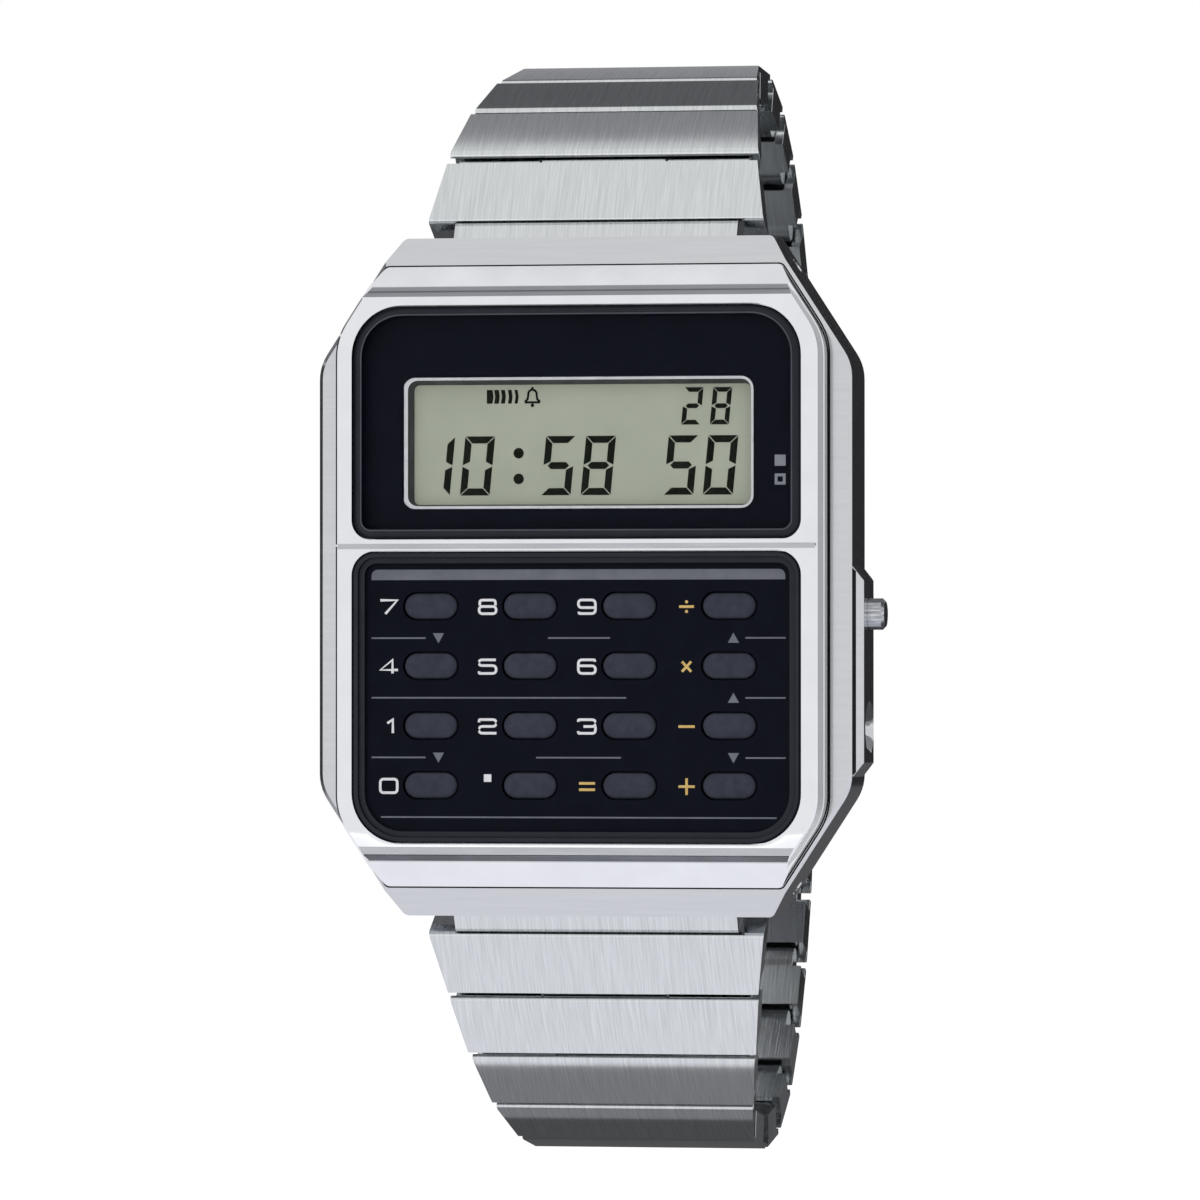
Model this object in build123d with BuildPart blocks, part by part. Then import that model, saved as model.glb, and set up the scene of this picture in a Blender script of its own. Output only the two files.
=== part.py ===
from build123d import *
import os
from math import atan2, cos, degrees, hypot, radians, sin, tan

os.makedirs("parts", exist_ok=True)

# A calculator watch, worn upright: the dial faces -Y, 12 o'clock is +Z and the side
# buttons are at +X. The origin is the centre of the case back's outer face. A depth
# is measured from the front of the bezel towards the wrist. Angles are in degrees.

# Case
case_width = 34.4
case_length = 43.2
case_height = 8.2
corner_width = 5.3
corner_slant = 33
case_shoulder_radius = 3.0
case_corner_radius = 0.5
case_back_lip = 0.2
end_slope_depth = 4.4
case_edge = 0.25

# Bezel, set back from the case's outline by its steps
bezel_side_step = 1.7
bezel_end_step = 1.9
bezel_corner_step = 2.55
bezel_thickness = 2.8
bezel_shoulder_radius = 4.0
bezel_slope_length = 2.05
bezel_crease_width = 0.4
bezel_crease_depth = 0.8
bezel_lip = 0.15
bezel_ledge_width = 0.25
bezel_ledge_depth = 1.2
bezel_edge = 0.12
part_line_width = 0.12
part_line_depth = 0.15
seat_width = 0.8
seat_corner = 1.0

# Lens, dial plate, display: margins inside the bezel, then inside the lens
window_side = 1.1
lens_end_margin = 0.55
lens_bottom = 2.35
lens_thickness = 1.2
lens_bevel_width = 0.55
lens_bevel_depth = 0.3
wide_radius = 3.2
small_radius = 1.2
dial_plate_thickness = 0.4
display_side_margin = 3.1
display_top_margin = 4.5
display_bottom_margin = 1.85
display_corner = 0.3
display_rim = 0.55
display_frame_thickness = 0.7
lcd_margin = 0.9
lcd_thickness = 1.4

# Keypad plate and keys
keypad_top = 1.55
keypad_end_margin = 0.75
keypad_top_radius = 1.5
keypad_rim = 0.75
keypad_recess = 0.65
keypad_step = 0.3
keypad_thickness = 1.5
key_length = 3.42
key_height = 1.64
key_side_margin = 1.6
key_offset_x = 0.15
key_top_margin = 3.45
key_bottom_margin = 3.66
key_sides = 8
key_proud = 0.12
key_foot_margin = 0.35
key_foot_thickness = 0.4
key_travel = 0.35
key_edge = 0.18

# Movement, in a cavity inside the case's walls
side_wall = 3.4
end_wall = 4.9
cavity_corner = 4.0
membrane_thickness = 0.4
dome_radius = 0.6
dome_sides = 6
dome_taper = 16
board_thickness = 0.8
module_gap = 0.2
battery_diameter = 20.0
battery_up = 2.0
battery_seat = 0.25
battery_rear_gap = 0.85
battery_sides = 36
buzzer_diameter = 12.0
buzzer_thickness = 0.4
gasket_width = 0.5
gasket_thickness = 0.4

# Case back and its screws
back_side_step = 2.2
back_end_step = 3.9
back_corner = 2.4
back_thickness = 0.8
back_edge = 0.15
screw_side_inset = 2.3
screw_end_inset = 2.1
screw_head_radius = 0.9
screw_head_height = 0.45
screw_radius = 0.5
screw_length = 2.6
screw_slot = 0.25
screw_sides = 12

# Side buttons and their guard
guard_top = 0.6
guard_bottom = -12.7
guard_front_height = 4.9
guard_rear_height = 0.8
guard_out = 0.7
guard_bevel = 0.9
guard_round = 0.22
button_height = 2.6
button_up = -2.4
button_radius = 1.0
button_out = 1.05
button_edge = 0.2
stem_radius = 0.55
stem_in = 3.2
button_travel = 0.7
set_button_up = -9.6
set_button_radius = 0.65
set_well_radius = 0.85
set_dish_radius = 1.7
set_dish_depth = 0.6
button_bore_sides = 16
set_button_sunk = 0.35

# Ends of the case that take the bracelet
lug_wall = 2.5
notch_length = 3.3
notch_height = 3.2
lug_bar_height = 1.4
lug_bar_inset = 1.8
lug_bar_radius = 0.75
lug_bar_tip_radius = 0.4
lug_bar_tip_out = 1.0

# Bracelet
band_side_step = 1.0
band_end_width = 15.4
taper_links = 4
link_pitch = 4.8
upper_end_link_length = 7.15
lower_end_link_length = 7.3
upper_end_tilt = 27.0
lower_end_tilt = 29.0
upper_tilts = (52, 64, 76, 94, 112, 127, 139, 149, 159)
lower_tilts = (38, 48, 63, 81, 99, 119, 137, 149, 158, 167)
tongue_play = 0.2
end_knuckle_radius = 1.15
plate_start = 2.55
plate_start_height = 1.55
link_top = 1.3
knuckle_radius = 0.8
plate_gap = 0.3
nose_radius = 0.32
nose_flats = 4
ear_inset = 0.6
tongue_share = 0.4
pin_radius = 0.4
hinge_sides = 8

# Clasp, along the straight run from the last upper hinge to the last lower hinge
tail_length = 14.5
tail_side_step = 0.6
tail_groove_width = 0.3
tail_groove_depth = 0.25
slider_start = 5.6
slider_length = 8.0
sheet = 0.45
slider_play = 0.12
slider_return = 1.8
blade_pivot = 14.0
blade_hinge = 1.0
blade_height = 1.95
blade_sheet = 0.8
blade_knuckle = 0.5
blade_pin_radius = 0.28
slider_ear_radius = 0.6
cover_side_gap = 0.35
cover_height = 2.7
cover_start = -0.2
cover_end_gap = 1.05
cover_skirt = -0.2
cover_edge = 0.15
cover_ear_run = 2.0
flap_start = 6.4
flap_length = 6.2
flap_width = 9.0
flap_knuckle = 0.32
flap_lug_width = 1.0
flap_pin_radius = 0.18
clasp_bar_radius = 0.45
clasp_bar_tip_radius = 0.3

# Clearances
running_fit = 0.05
press_clearance = 0.02
play = 0.12
side_play = 0.3
overrun = 1.0


def at_depth(depth):
    """World Y of a depth behind the bezel's front."""
    return depth - case_height


def dial_plane(depth):
    """A plane along the dial: X to 3 o'clock, Y to 12 o'clock, normal to the front."""
    return Plane(origin=(0, at_depth(depth), 0), x_dir=(1, 0, 0), z_dir=(0, -1, 0))


def finish(piece, label):
    """Label a piece and write it."""
    piece.label = label
    export_step(piece, f"parts/{label}.step")
    return piece


def case_plan(width, length, end_width, shoulder_radius, corner_radius):
    """Eight-sided plan: straight sides, slanted corners, straight ends."""
    shoulder = length / 2 - (width - end_width) / 2 / tan(radians(corner_slant))
    corners = [
        (width / 2, shoulder), (end_width / 2, length / 2),
        (-end_width / 2, length / 2), (-width / 2, shoulder),
        (-width / 2, -shoulder), (-end_width / 2, -length / 2),
        (end_width / 2, -length / 2), (width / 2, -shoulder),
    ]
    with BuildSketch() as plan:
        with BuildLine():
            Polyline(*corners, close=True)
        make_face()
        by_width = plan.vertices().group_by(lambda v: round(abs(v.X), 3))
        fillet(by_width[-1], radius=shoulder_radius)
        by_length = plan.vertices().group_by(lambda v: round(abs(v.Y), 3))
        fillet(by_length[-1], radius=corner_radius)
    return plan.sketch


def window_plan(top, bottom, width, top_radius, bottom_radius):
    """Upright rectangle with two sizes of corner."""
    with BuildSketch() as plan:
        with Locations((0, (top + bottom) / 2)):
            Rectangle(width, top - bottom)
        rows = plan.vertices().group_by(Axis.Y)
        fillet(rows[-1], radius=top_radius)
        rows = plan.vertices().group_by(Axis.Y)
        fillet(rows[0], radius=bottom_radius)
    return plan.sketch


def opening_plan(top, bottom):
    """What is left of a window inside its seat, with its corners cut."""
    with BuildSketch() as plan:
        with Locations((0, (top + bottom) / 2)):
            Rectangle(window_width - 2 * seat_width, top - bottom - 2 * seat_width)
        chamfer(plan.vertices(), length=seat_corner)
    return plan.sketch


def cavity_plan(grow):
    """Inside of the case, with cut corners that leave room for the screws."""
    with BuildSketch() as plan:
        Rectangle(cavity_width + 2 * grow, cavity_length + 2 * grow)
        chamfer(plan.vertices(), length=cavity_corner)
    return plan.sketch


def back_plan(grow):
    """Outline of the case back, its corners cut along the case's slants."""
    with BuildSketch() as plan:
        Rectangle(back_width + 2 * grow, back_length + 2 * grow)
        chamfer(plan.vertices(), length=back_corner)
    return plan.sketch


def cut_ends(points):
    """Take the same profile, given as depth and height, off both ends of the piece."""
    for side in (1, -1):
        with BuildSketch(Plane.YZ) as profile:
            with BuildLine():
                Polyline(*[(at_depth(depth), side * up) for depth, up in points], close=True)
            make_face()
        extrude(profile.sketch, amount=case_width, both=True, mode=Mode.SUBTRACT)


def few_sided(radius, sides, around=False, mode=Mode.ADD):
    """A small round of a few flats: its corners, or if around its flats, lie at the radius."""
    RegularPolygon(radius=radius, side_count=sides, major_radius=not around, mode=mode)


def key_plan(grow):
    """Outline of a key: straight long sides and few-sided round ends."""
    height = key_height + 2 * grow
    with BuildSketch() as plan:
        with Locations(*[(side * (key_length - key_height) / 2, 0) for side in (-1, 1)]):
            few_sided(height / 2, key_sides)
        make_hull(plan.edges())
    return plan.sketch


# Case: slanted corners, sloped ends, a movement cavity and a notch for each end link
case_end_width = case_width - 2 * corner_width
bezel_width = case_width - 2 * bezel_side_step
bezel_length = case_length - 2 * bezel_end_step
bezel_end_width = bezel_width - 2 * (corner_width - bezel_corner_step)
bezel_front_length = bezel_length - 2 * bezel_slope_length
cavity_width = case_width - 2 * side_wall
cavity_length = case_length - 2 * end_wall
back_width = case_width - 2 * back_side_step
back_length = case_length - 2 * back_end_step
case_rear_depth = case_height - case_back_lip
guard_x = case_width / 2 + guard_out
screw_x = back_width / 2 - screw_side_inset
screw_z = back_length / 2 - screw_end_inset
screw_places = [(x, z) for x in (-screw_x, screw_x) for z in (-screw_z, screw_z)]
back_floor = case_height - back_thickness
case_front_edge = bezel_length / 2 + running_fit
guard_front = case_height - guard_front_height
guard_rear = case_height - guard_rear_height
button_depth = case_height - button_height
notch_width = case_end_width - 2 * lug_wall
notch_start = case_length / 2 - notch_length
notch_depth = case_height - notch_height
lug_bar_depth = case_height - lug_bar_height
lug_bar_up = case_length / 2 - lug_bar_inset
lug_bar_half = case_end_width / 2 + lug_bar_tip_out
with BuildPart() as case:
    with BuildSketch(dial_plane(case_rear_depth)):
        add(case_plan(case_width, case_length, case_end_width,
                      case_shoulder_radius, case_corner_radius))
    extrude(amount=case_rear_depth - bezel_thickness)
    front_rim = case.faces().sort_by(Axis.Y)[0].edges()
    sides = front_rim.filter_by(lambda e: abs(e.center().X) > bezel_width / 2)
    chamfer(sides, length=case_edge)
    with BuildSketch(dial_plane(guard_rear)):
        with BuildLine():
            Polyline((0, guard_top), (case_width / 2, guard_top),
                     (guard_x, guard_top - guard_bevel),
                     (guard_x, guard_bottom + guard_bevel),
                     (case_width / 2, guard_bottom), (0, guard_bottom), close=True)
        make_face()
    extrude(amount=guard_rear - guard_front)
    guard_rim = case.edges().filter_by(Axis.Z).filter_by(
        lambda e: e.center().X > guard_x - guard_bevel / 2)
    fillet(guard_rim, radius=guard_round)
    cut_ends([(bezel_thickness - overrun, case_front_edge),
              (bezel_thickness, case_front_edge),
              (end_slope_depth, case_length / 2),
              (end_slope_depth, case_length / 2 + overrun),
              (bezel_thickness - overrun, case_length / 2 + overrun)])
    with BuildSketch(dial_plane(case_rear_depth)):
        add(cavity_plan(0))
    extrude(amount=case_rear_depth, mode=Mode.SUBTRACT)
    with BuildSketch(dial_plane(back_floor)):
        add(cavity_plan(gasket_width))
    extrude(amount=gasket_thickness, mode=Mode.SUBTRACT)
    with BuildSketch(dial_plane(case_rear_depth)):
        add(back_plan(running_fit))
    extrude(amount=case_rear_depth - back_floor, mode=Mode.SUBTRACT)
    for side in (1, -1):
        with BuildSketch(dial_plane(case_rear_depth)):
            with Locations((0, side * (notch_start + case_length / 2) / 2)):
                Rectangle(notch_width, case_length / 2 - notch_start + press_clearance)
        extrude(amount=case_rear_depth - notch_depth, mode=Mode.SUBTRACT)
        with BuildSketch(Plane.YZ):
            with Locations((at_depth(lug_bar_depth), side * lug_bar_up)):
                few_sided(lug_bar_tip_radius + running_fit, hinge_sides, around=True)
        extrude(amount=case_width, both=True, mode=Mode.SUBTRACT)
    with BuildSketch(dial_plane(back_floor)):
        with Locations(*screw_places):
            few_sided(screw_radius + running_fit, hinge_sides, around=True)
    extrude(amount=screw_length, mode=Mode.SUBTRACT)
    # The push button's bore, the recessed button's dish and bore
    with BuildSketch(Plane.YZ):
        with Locations((at_depth(button_depth), button_up)):
            few_sided(button_radius + running_fit, button_bore_sides, around=True)
    extrude(amount=guard_x + overrun, mode=Mode.SUBTRACT)
    with BuildSketch(Plane.YZ):
        with Locations((at_depth(button_depth), set_button_up)):
            few_sided(set_button_radius + running_fit, screw_sides, around=True)
    extrude(amount=guard_x + overrun, mode=Mode.SUBTRACT)
    with BuildSketch(Plane.YZ.offset(guard_x)):
        with Locations((at_depth(button_depth), set_button_up)):
            few_sided(set_dish_radius, button_bore_sides)
    with BuildSketch(Plane.YZ.offset(guard_x - set_dish_depth)):
        with Locations((at_depth(button_depth), set_button_up)):
            few_sided(set_well_radius, button_bore_sides)
    loft(mode=Mode.SUBTRACT)
finish(case.part, "case")

# Bezel: creased end slopes, a ledge along its sides, two windows with seats
window_width = bezel_width - 2 * window_side
lens_top = bezel_front_length / 2 - lens_end_margin
keypad_bottom = keypad_end_margin - bezel_front_length / 2
lens_plan = window_plan(lens_top, lens_bottom, window_width, wide_radius, small_radius)
keypad_plan = window_plan(keypad_top, keypad_bottom, window_width, keypad_top_radius, wide_radius)
part_line_up = (lens_bottom + keypad_top) / 2
with BuildPart() as bezel:
    with BuildSketch(dial_plane(bezel_thickness)):
        add(case_plan(bezel_width + 2 * bezel_ledge_width, bezel_length,
                      bezel_end_width, bezel_shoulder_radius, case_corner_radius))
    extrude(amount=bezel_thickness - bezel_ledge_depth)
    with BuildSketch(dial_plane(bezel_ledge_depth)):
        add(case_plan(bezel_width, bezel_length, bezel_end_width - 2 * bezel_ledge_width,
                      bezel_shoulder_radius, case_corner_radius))
    extrude(amount=bezel_ledge_depth)
    cut_ends([(-overrun, bezel_front_length / 2), (0, bezel_front_length / 2),
              (bezel_crease_depth, bezel_front_length / 2 + bezel_crease_width),
              (bezel_thickness - bezel_lip, bezel_length / 2),
              (bezel_thickness - bezel_lip, bezel_length / 2 + overrun),
              (-overrun, bezel_length / 2 + overrun)])
    front_face = bezel.faces().sort_by(Axis.Y)[0]
    chamfer(front_face.edges(), length=bezel_edge)
    for plan, opening, seat_depth in (
            (lens_plan, opening_plan(lens_top, lens_bottom), lens_thickness),
            (keypad_plan, opening_plan(keypad_top, keypad_bottom), keypad_thickness)):
        with BuildSketch(dial_plane(seat_depth)):
            add(plan)
            offset(amount=running_fit)
        extrude(amount=seat_depth + overrun, mode=Mode.SUBTRACT)
        with BuildSketch(dial_plane(bezel_thickness + overrun)):
            add(opening)
        extrude(amount=bezel_thickness + 2 * overrun, mode=Mode.SUBTRACT)
    with BuildSketch(dial_plane(part_line_depth)):
        with Locations((0, part_line_up)):
            Rectangle(case_width, part_line_width)
    extrude(amount=part_line_depth + overrun, mode=Mode.SUBTRACT)
finish(bezel.part, "bezel")

# Lens with a bevelled rim
with BuildPart() as lens:
    with BuildSketch(dial_plane(lens_thickness)):
        add(lens_plan)
    extrude(amount=lens_thickness)
    front = lens.faces().sort_by(Axis.Y)[0]
    chamfer(front.edges(), length=lens_bevel_depth, length2=lens_bevel_width)
finish(lens.part, "lens")

# Black dial plate under the lens, with the display's window
dial_rear = lens_thickness + dial_plate_thickness
frame_rear = lens_thickness + display_frame_thickness
display_width = window_width - 2 * display_side_margin
display_height = lens_top - lens_bottom - display_top_margin - display_bottom_margin
display_up = lens_bottom + display_bottom_margin + display_height / 2


def display_plan(inset):
    """Outline of the display's window, with its corners cut."""
    with BuildSketch() as plan:
        with Locations((0, display_up)):
            Rectangle(display_width - 2 * inset, display_height - 2 * inset)
        chamfer(plan.vertices(), length=display_corner)
    return plan.sketch


with BuildPart() as dial_plate:
    with BuildSketch(dial_plane(dial_rear)):
        add(opening_plan(lens_top, lens_bottom))
        offset(amount=-running_fit, kind=Kind.INTERSECTION)
        add(display_plan(0), mode=Mode.SUBTRACT)
    extrude(amount=dial_plate_thickness)
finish(dial_plate.part, "dial_plate")

# Silver frame in the dial plate's window
with BuildPart() as display_frame:
    with BuildSketch(dial_plane(frame_rear)):
        add(display_plan(press_clearance))
        add(display_plan(display_rim), mode=Mode.SUBTRACT)
    extrude(amount=display_frame_thickness)
finish(display_frame.part, "display_frame")

# Display panel behind the frame
lcd_rear = frame_rear + lcd_thickness
with BuildPart() as lcd_panel:
    with BuildSketch(dial_plane(lcd_rear)):
        with Locations((0, display_up)):
            Rectangle(display_width + 2 * lcd_margin, display_height + 2 * lcd_margin)
    extrude(amount=lcd_thickness)
finish(lcd_panel.part, "lcd_panel")

# Keypad plate: stepped rim, a sunk face and sixteen keyholes
key_names = (("7", "8", "9", "divide"), ("4", "5", "6", "multiply"),
             ("1", "2", "3", "minus"), ("0", "point", "equals", "plus"))
key_pitch_x = (window_width - 2 * key_side_margin) / len(key_names[0])
key_pitch_z = ((keypad_top - keypad_bottom - key_top_margin - key_bottom_margin)
               / (len(key_names) - 1))
key_places = {}
for row, names in enumerate(key_names):
    for column, name in enumerate(names):
        x = key_offset_x + (column - (len(names) - 1) / 2) * key_pitch_x
        key_places[name] = (x, keypad_top - key_top_margin - row * key_pitch_z)
with BuildPart() as keypad_plate:
    with BuildSketch(dial_plane(keypad_thickness)):
        add(keypad_plan)
    extrude(amount=keypad_thickness)
    with BuildSketch(dial_plane(keypad_step)):
        add(keypad_plan)
        offset(amount=-keypad_rim / 2)
    extrude(amount=keypad_step, mode=Mode.SUBTRACT)
    with BuildSketch(dial_plane(keypad_recess)):
        add(keypad_plan)
        offset(amount=-keypad_rim)
    extrude(amount=keypad_recess, mode=Mode.SUBTRACT)
    with BuildSketch(dial_plane(keypad_thickness)):
        with Locations(*key_places.values()):
            add(key_plan(play))
    extrude(amount=keypad_thickness, mode=Mode.SUBTRACT)
finish(keypad_plate.part, "keypad_plate")

# Sixteen keys, each a round-ended head on a wider foot behind the plate
key_front = keypad_recess - key_proud
foot_front = keypad_thickness + play
foot_rear = foot_front + key_foot_thickness
for name, place in key_places.items():
    with BuildPart() as key:
        with BuildSketch(dial_plane(foot_front)):
            with Locations(place):
                add(key_plan(0))
        extrude(amount=foot_front - key_front)
        chamfer(key.faces().sort_by(Axis.Y)[0].edges(), length=key_edge)
        with BuildSketch(dial_plane(foot_rear)):
            with Locations(place):
                Rectangle(key_length + 2 * key_foot_margin, key_height + 2 * key_foot_margin)
        extrude(amount=key_foot_thickness)
    finish(key.part, f"key_{name}")

# Rubber membrane with a dome under each key, which meets the foot at the end of its travel
membrane_front = lcd_rear - membrane_thickness
dome_height = membrane_front - foot_rear - key_travel - play
with BuildPart() as key_membrane:
    with BuildSketch(dial_plane(lcd_rear)):
        with Locations((0, (keypad_top + keypad_bottom) / 2)):
            Rectangle(window_width - 4 * seat_width, keypad_top - keypad_bottom - 4 * seat_width)
        add(cavity_plan(-side_play), mode=Mode.INTERSECT)
    extrude(amount=membrane_thickness)
    with BuildSketch(dial_plane(membrane_front)):
        with Locations(*key_places.values()):
            few_sided(dome_radius, dome_sides)
    extrude(amount=dome_height, taper=dome_taper)
finish(key_membrane.part, "key_membrane")

# Circuit board, then the frame that holds the cell and the board
board_rear = lcd_rear + board_thickness
with BuildPart() as circuit_board:
    with BuildSketch(dial_plane(board_rear)):
        add(cavity_plan(-side_play))
    extrude(amount=board_thickness)
finish(circuit_board.part, "circuit_board")

module_rear = back_floor - buzzer_thickness - module_gap
module_thickness = module_rear - board_rear
with BuildPart() as module_frame:
    with BuildSketch(dial_plane(module_rear)):
        add(cavity_plan(-side_play))
        with Locations((0, battery_up)):
            few_sided(battery_diameter / 2 + play, battery_sides, around=True, mode=Mode.SUBTRACT)
    extrude(amount=module_thickness)
    with BuildSketch(Plane.YZ.offset(cavity_width / 2 - stem_in)):
        with Locations(*[(at_depth(button_depth), up) for up in (button_up, set_button_up)]):
            few_sided(button_radius + play, hinge_sides, around=True)
    extrude(amount=stem_in, mode=Mode.SUBTRACT)
finish(module_frame.part, "module_frame")

cell_front = board_rear + battery_seat
battery_thickness = module_thickness - battery_seat - battery_rear_gap
with BuildPart() as battery:
    with BuildSketch(dial_plane(cell_front + battery_thickness)):
        with Locations((0, battery_up)):
            few_sided(battery_diameter / 2, battery_sides)
    extrude(amount=battery_thickness)
finish(battery.part, "battery")

# Buzzer disc bonded to the inside of the case back
with BuildPart() as buzzer:
    with BuildSketch(dial_plane(back_floor)):
        with Locations((0, battery_up)):
            few_sided(buzzer_diameter / 2, battery_sides)
    extrude(amount=buzzer_thickness)
finish(buzzer.part, "buzzer")

# Gasket in its step round the cavity's mouth
with BuildPart() as case_gasket:
    with BuildSketch(dial_plane(back_floor)):
        add(cavity_plan(gasket_width - press_clearance))
        add(cavity_plan(running_fit), mode=Mode.SUBTRACT)
    extrude(amount=gasket_thickness)
finish(case_gasket.part, "case_gasket")

# Case back with four countersunk places, and its four screws in one node
with BuildPart() as case_back:
    with BuildSketch(dial_plane(case_height)):
        add(back_plan(0))
    extrude(amount=back_thickness)
    chamfer(case_back.faces().sort_by(Axis.Y)[-1].edges(), length=back_edge)
    with BuildSketch(dial_plane(case_height)):
        with Locations(*screw_places):
            few_sided(screw_head_radius + running_fit, screw_sides, around=True)
    extrude(amount=screw_head_height, mode=Mode.SUBTRACT)
    with BuildSketch(dial_plane(case_height)):
        with Locations(*screw_places):
            few_sided(screw_radius + running_fit, hinge_sides, around=True)
    extrude(amount=back_thickness, mode=Mode.SUBTRACT)
finish(case_back.part, "case_back")

with BuildPart() as case_back_screws:
    with BuildSketch(dial_plane(case_height)):
        with Locations(*screw_places):
            few_sided(screw_head_radius, screw_sides)
    extrude(amount=screw_head_height)
    with BuildSketch(dial_plane(case_height - screw_head_height)):
        with Locations(*screw_places):
            few_sided(screw_radius, hinge_sides)
    extrude(amount=screw_length - screw_head_height)
    with BuildSketch(dial_plane(case_height)):
        with Locations(*screw_places):
            Rectangle(2 * screw_head_radius, screw_slot)
    extrude(amount=screw_head_height / 2, mode=Mode.SUBTRACT)
finish(case_back_screws.part, "case_back_screws")

# Push button with its stem, and the recessed button
button_plane = Plane.YZ.offset(guard_x + button_out)
with BuildPart() as mode_button:
    with BuildSketch(button_plane):
        with Locations((at_depth(button_depth), button_up)):
            Circle(button_radius)
    extrude(amount=-(button_out + guard_x - cavity_width / 2 - press_clearance))
    chamfer(mode_button.edges().group_by(Axis.X)[-1], length=button_edge)
    with BuildSketch(button_plane):
        with Locations((at_depth(button_depth), button_up)):
            few_sided(stem_radius, hinge_sides)
    extrude(amount=-(button_out + guard_x - cavity_width / 2 + stem_in - button_travel - play))
finish(mode_button.part, "mode_button")

with BuildPart() as set_button:
    with BuildSketch(Plane.YZ.offset(guard_x - set_dish_depth - set_button_sunk)):
        with Locations((at_depth(button_depth), set_button_up)):
            few_sided(set_button_radius, screw_sides)
    extrude(amount=-(guard_x - set_dish_depth - set_button_sunk - cavity_width / 2 + stem_in
                     - button_travel - play))
finish(set_button.part, "set_button")


# Bracelet. A link lies along its plane's X from its first hinge, its outer side is the
# plane's Y. The hinge pin between two links is carried by the ears of the first one.
def band_width(edge):
    """Width of the bracelet at a link edge, counted from the case."""
    share = min(edge, taper_links) / taper_links
    return band_start_width - (band_start_width - band_end_width) * share


def link_plane(place, tilt, side):
    """Plane of a link: side is 1 on the 12 o'clock half and -1 on the other."""
    turn = radians(tilt)
    return Plane(origin=(0, *place), x_dir=(0, sin(turn), side * cos(turn)),
                 z_dir=(side, 0, 0))


def half_band(end_length, end_tilt, tilts, side):
    """Hinge places (Y, Z) from the lug bar to the clasp."""
    y, z = at_depth(lug_bar_depth), side * lug_bar_up
    places = [(y, z)]
    for length, tilt in [(end_length, end_tilt)] + [(link_pitch, turn) for turn in tilts]:
        y += length * sin(radians(tilt))
        z += side * length * cos(radians(tilt))
        places.append((y, z))
    return places


hinge_clear = knuckle_radius + play
tongue_width = notch_width - 2 * tongue_play
band_start_width = case_end_width - 2 * band_side_step


def taper_to(plane, start, length, start_width, end_width):
    """Cut the piece being built to a plan that narrows from start to end."""
    plan = Plane(origin=plane.origin, x_dir=plane.x_dir, z_dir=plane.y_dir)
    with BuildSketch(plan) as outline:
        with BuildLine():
            Polyline((start, start_width / 2), (length, end_width / 2),
                     (length, -end_width / 2), (start, -start_width / 2), close=True)
        make_face()
    extrude(outline.sketch, amount=2 * link_top, both=True, mode=Mode.INTERSECT)


def tongue(plane, edge):
    """The knuckle in the middle of a link's first hinge, bored for the pin."""
    with BuildSketch(plane) as profile:
        Circle(knuckle_radius)
        with Locations((hinge_clear / 2, 0)):
            Rectangle(hinge_clear, 2 * knuckle_radius)
        few_sided(pin_radius + running_fit, hinge_sides, around=True, mode=Mode.SUBTRACT)
    extrude(profile.sketch, amount=ear_halves(edge)[0] - play, both=True)


def ears(plane, length, edge):
    """The two ears at a link's second hinge, with the pin pressed through them."""
    inner, outer = ear_halves(edge)
    for side in (1, -1):
        with BuildSketch(plane.offset(side * (inner + outer) / 2)) as profile:
            with Locations((length, 0)):
                few_sided(knuckle_radius, hinge_sides)
            with Locations((length - hinge_clear / 2, 0)):
                Rectangle(hinge_clear, 2 * knuckle_radius)
        extrude(profile.sketch, amount=(outer - inner) / 2, both=True)
    with BuildSketch(plane) as pin:
        with Locations((length, 0)):
            few_sided(pin_radius, hinge_sides)
    extrude(pin.sketch, amount=inner + play, both=True)


def ear_halves(edge):
    """Inner and outer half width of the ears at a link edge."""
    return (tongue_share * band_width(edge) / 2 + play, band_width(edge) / 2 - ear_inset)


def nose(start, top):
    """Rounded upper edge of an outer plate, in a few flats from the top down."""
    turns = [radians(90 * step / nose_flats) for step in range(nose_flats + 1)]
    Polyline(*[(start + nose_radius * (1 - sin(turn)), top - nose_radius * (1 - cos(turn)))
               for turn in turns])


def plain_link(label, plane, edge, closing):
    """A link between the edges edge and edge + 1; the closing one ends in a full knuckle."""
    end = link_pitch
    if closing:
        stop = end + knuckle_radius - side_play
        heel = [(end, -knuckle_radius), (stop, 0)]
    else:
        stop = end - plate_gap / 2
        heel = [(end - hinge_clear, -knuckle_radius), (end - hinge_clear, hinge_clear),
                (stop, hinge_clear)]
    with BuildPart() as link:
        with BuildSketch(plane):
            with BuildLine():
                Polyline((hinge_clear, hinge_clear), (hinge_clear, -knuckle_radius), *heel,
                         (stop, link_top), (plate_gap / 2 + nose_radius, link_top))
                nose(plate_gap / 2, link_top)
                Polyline((plate_gap / 2, link_top - nose_radius), (plate_gap / 2, hinge_clear),
                         (hinge_clear, hinge_clear))
            make_face()
        extrude(amount=band_width(edge) / 2, both=True)
        taper_to(plane, 0, end + knuckle_radius, band_width(edge), band_width(edge + 1))
        tongue(plane, edge)
        if closing:
            with BuildSketch(plane):
                with Locations((end, 0)):
                    Circle(knuckle_radius)
            extrude(amount=band_width(edge + 1) / 2, both=True)
            with BuildSketch(plane):
                with Locations((end, 0)):
                    few_sided(clasp_bar_radius + running_fit, hinge_sides, around=True)
            extrude(amount=band_width(edge), both=True, mode=Mode.SUBTRACT)
        else:
            ears(plane, end, edge + 1)
    return finish(link.part, label)


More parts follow.
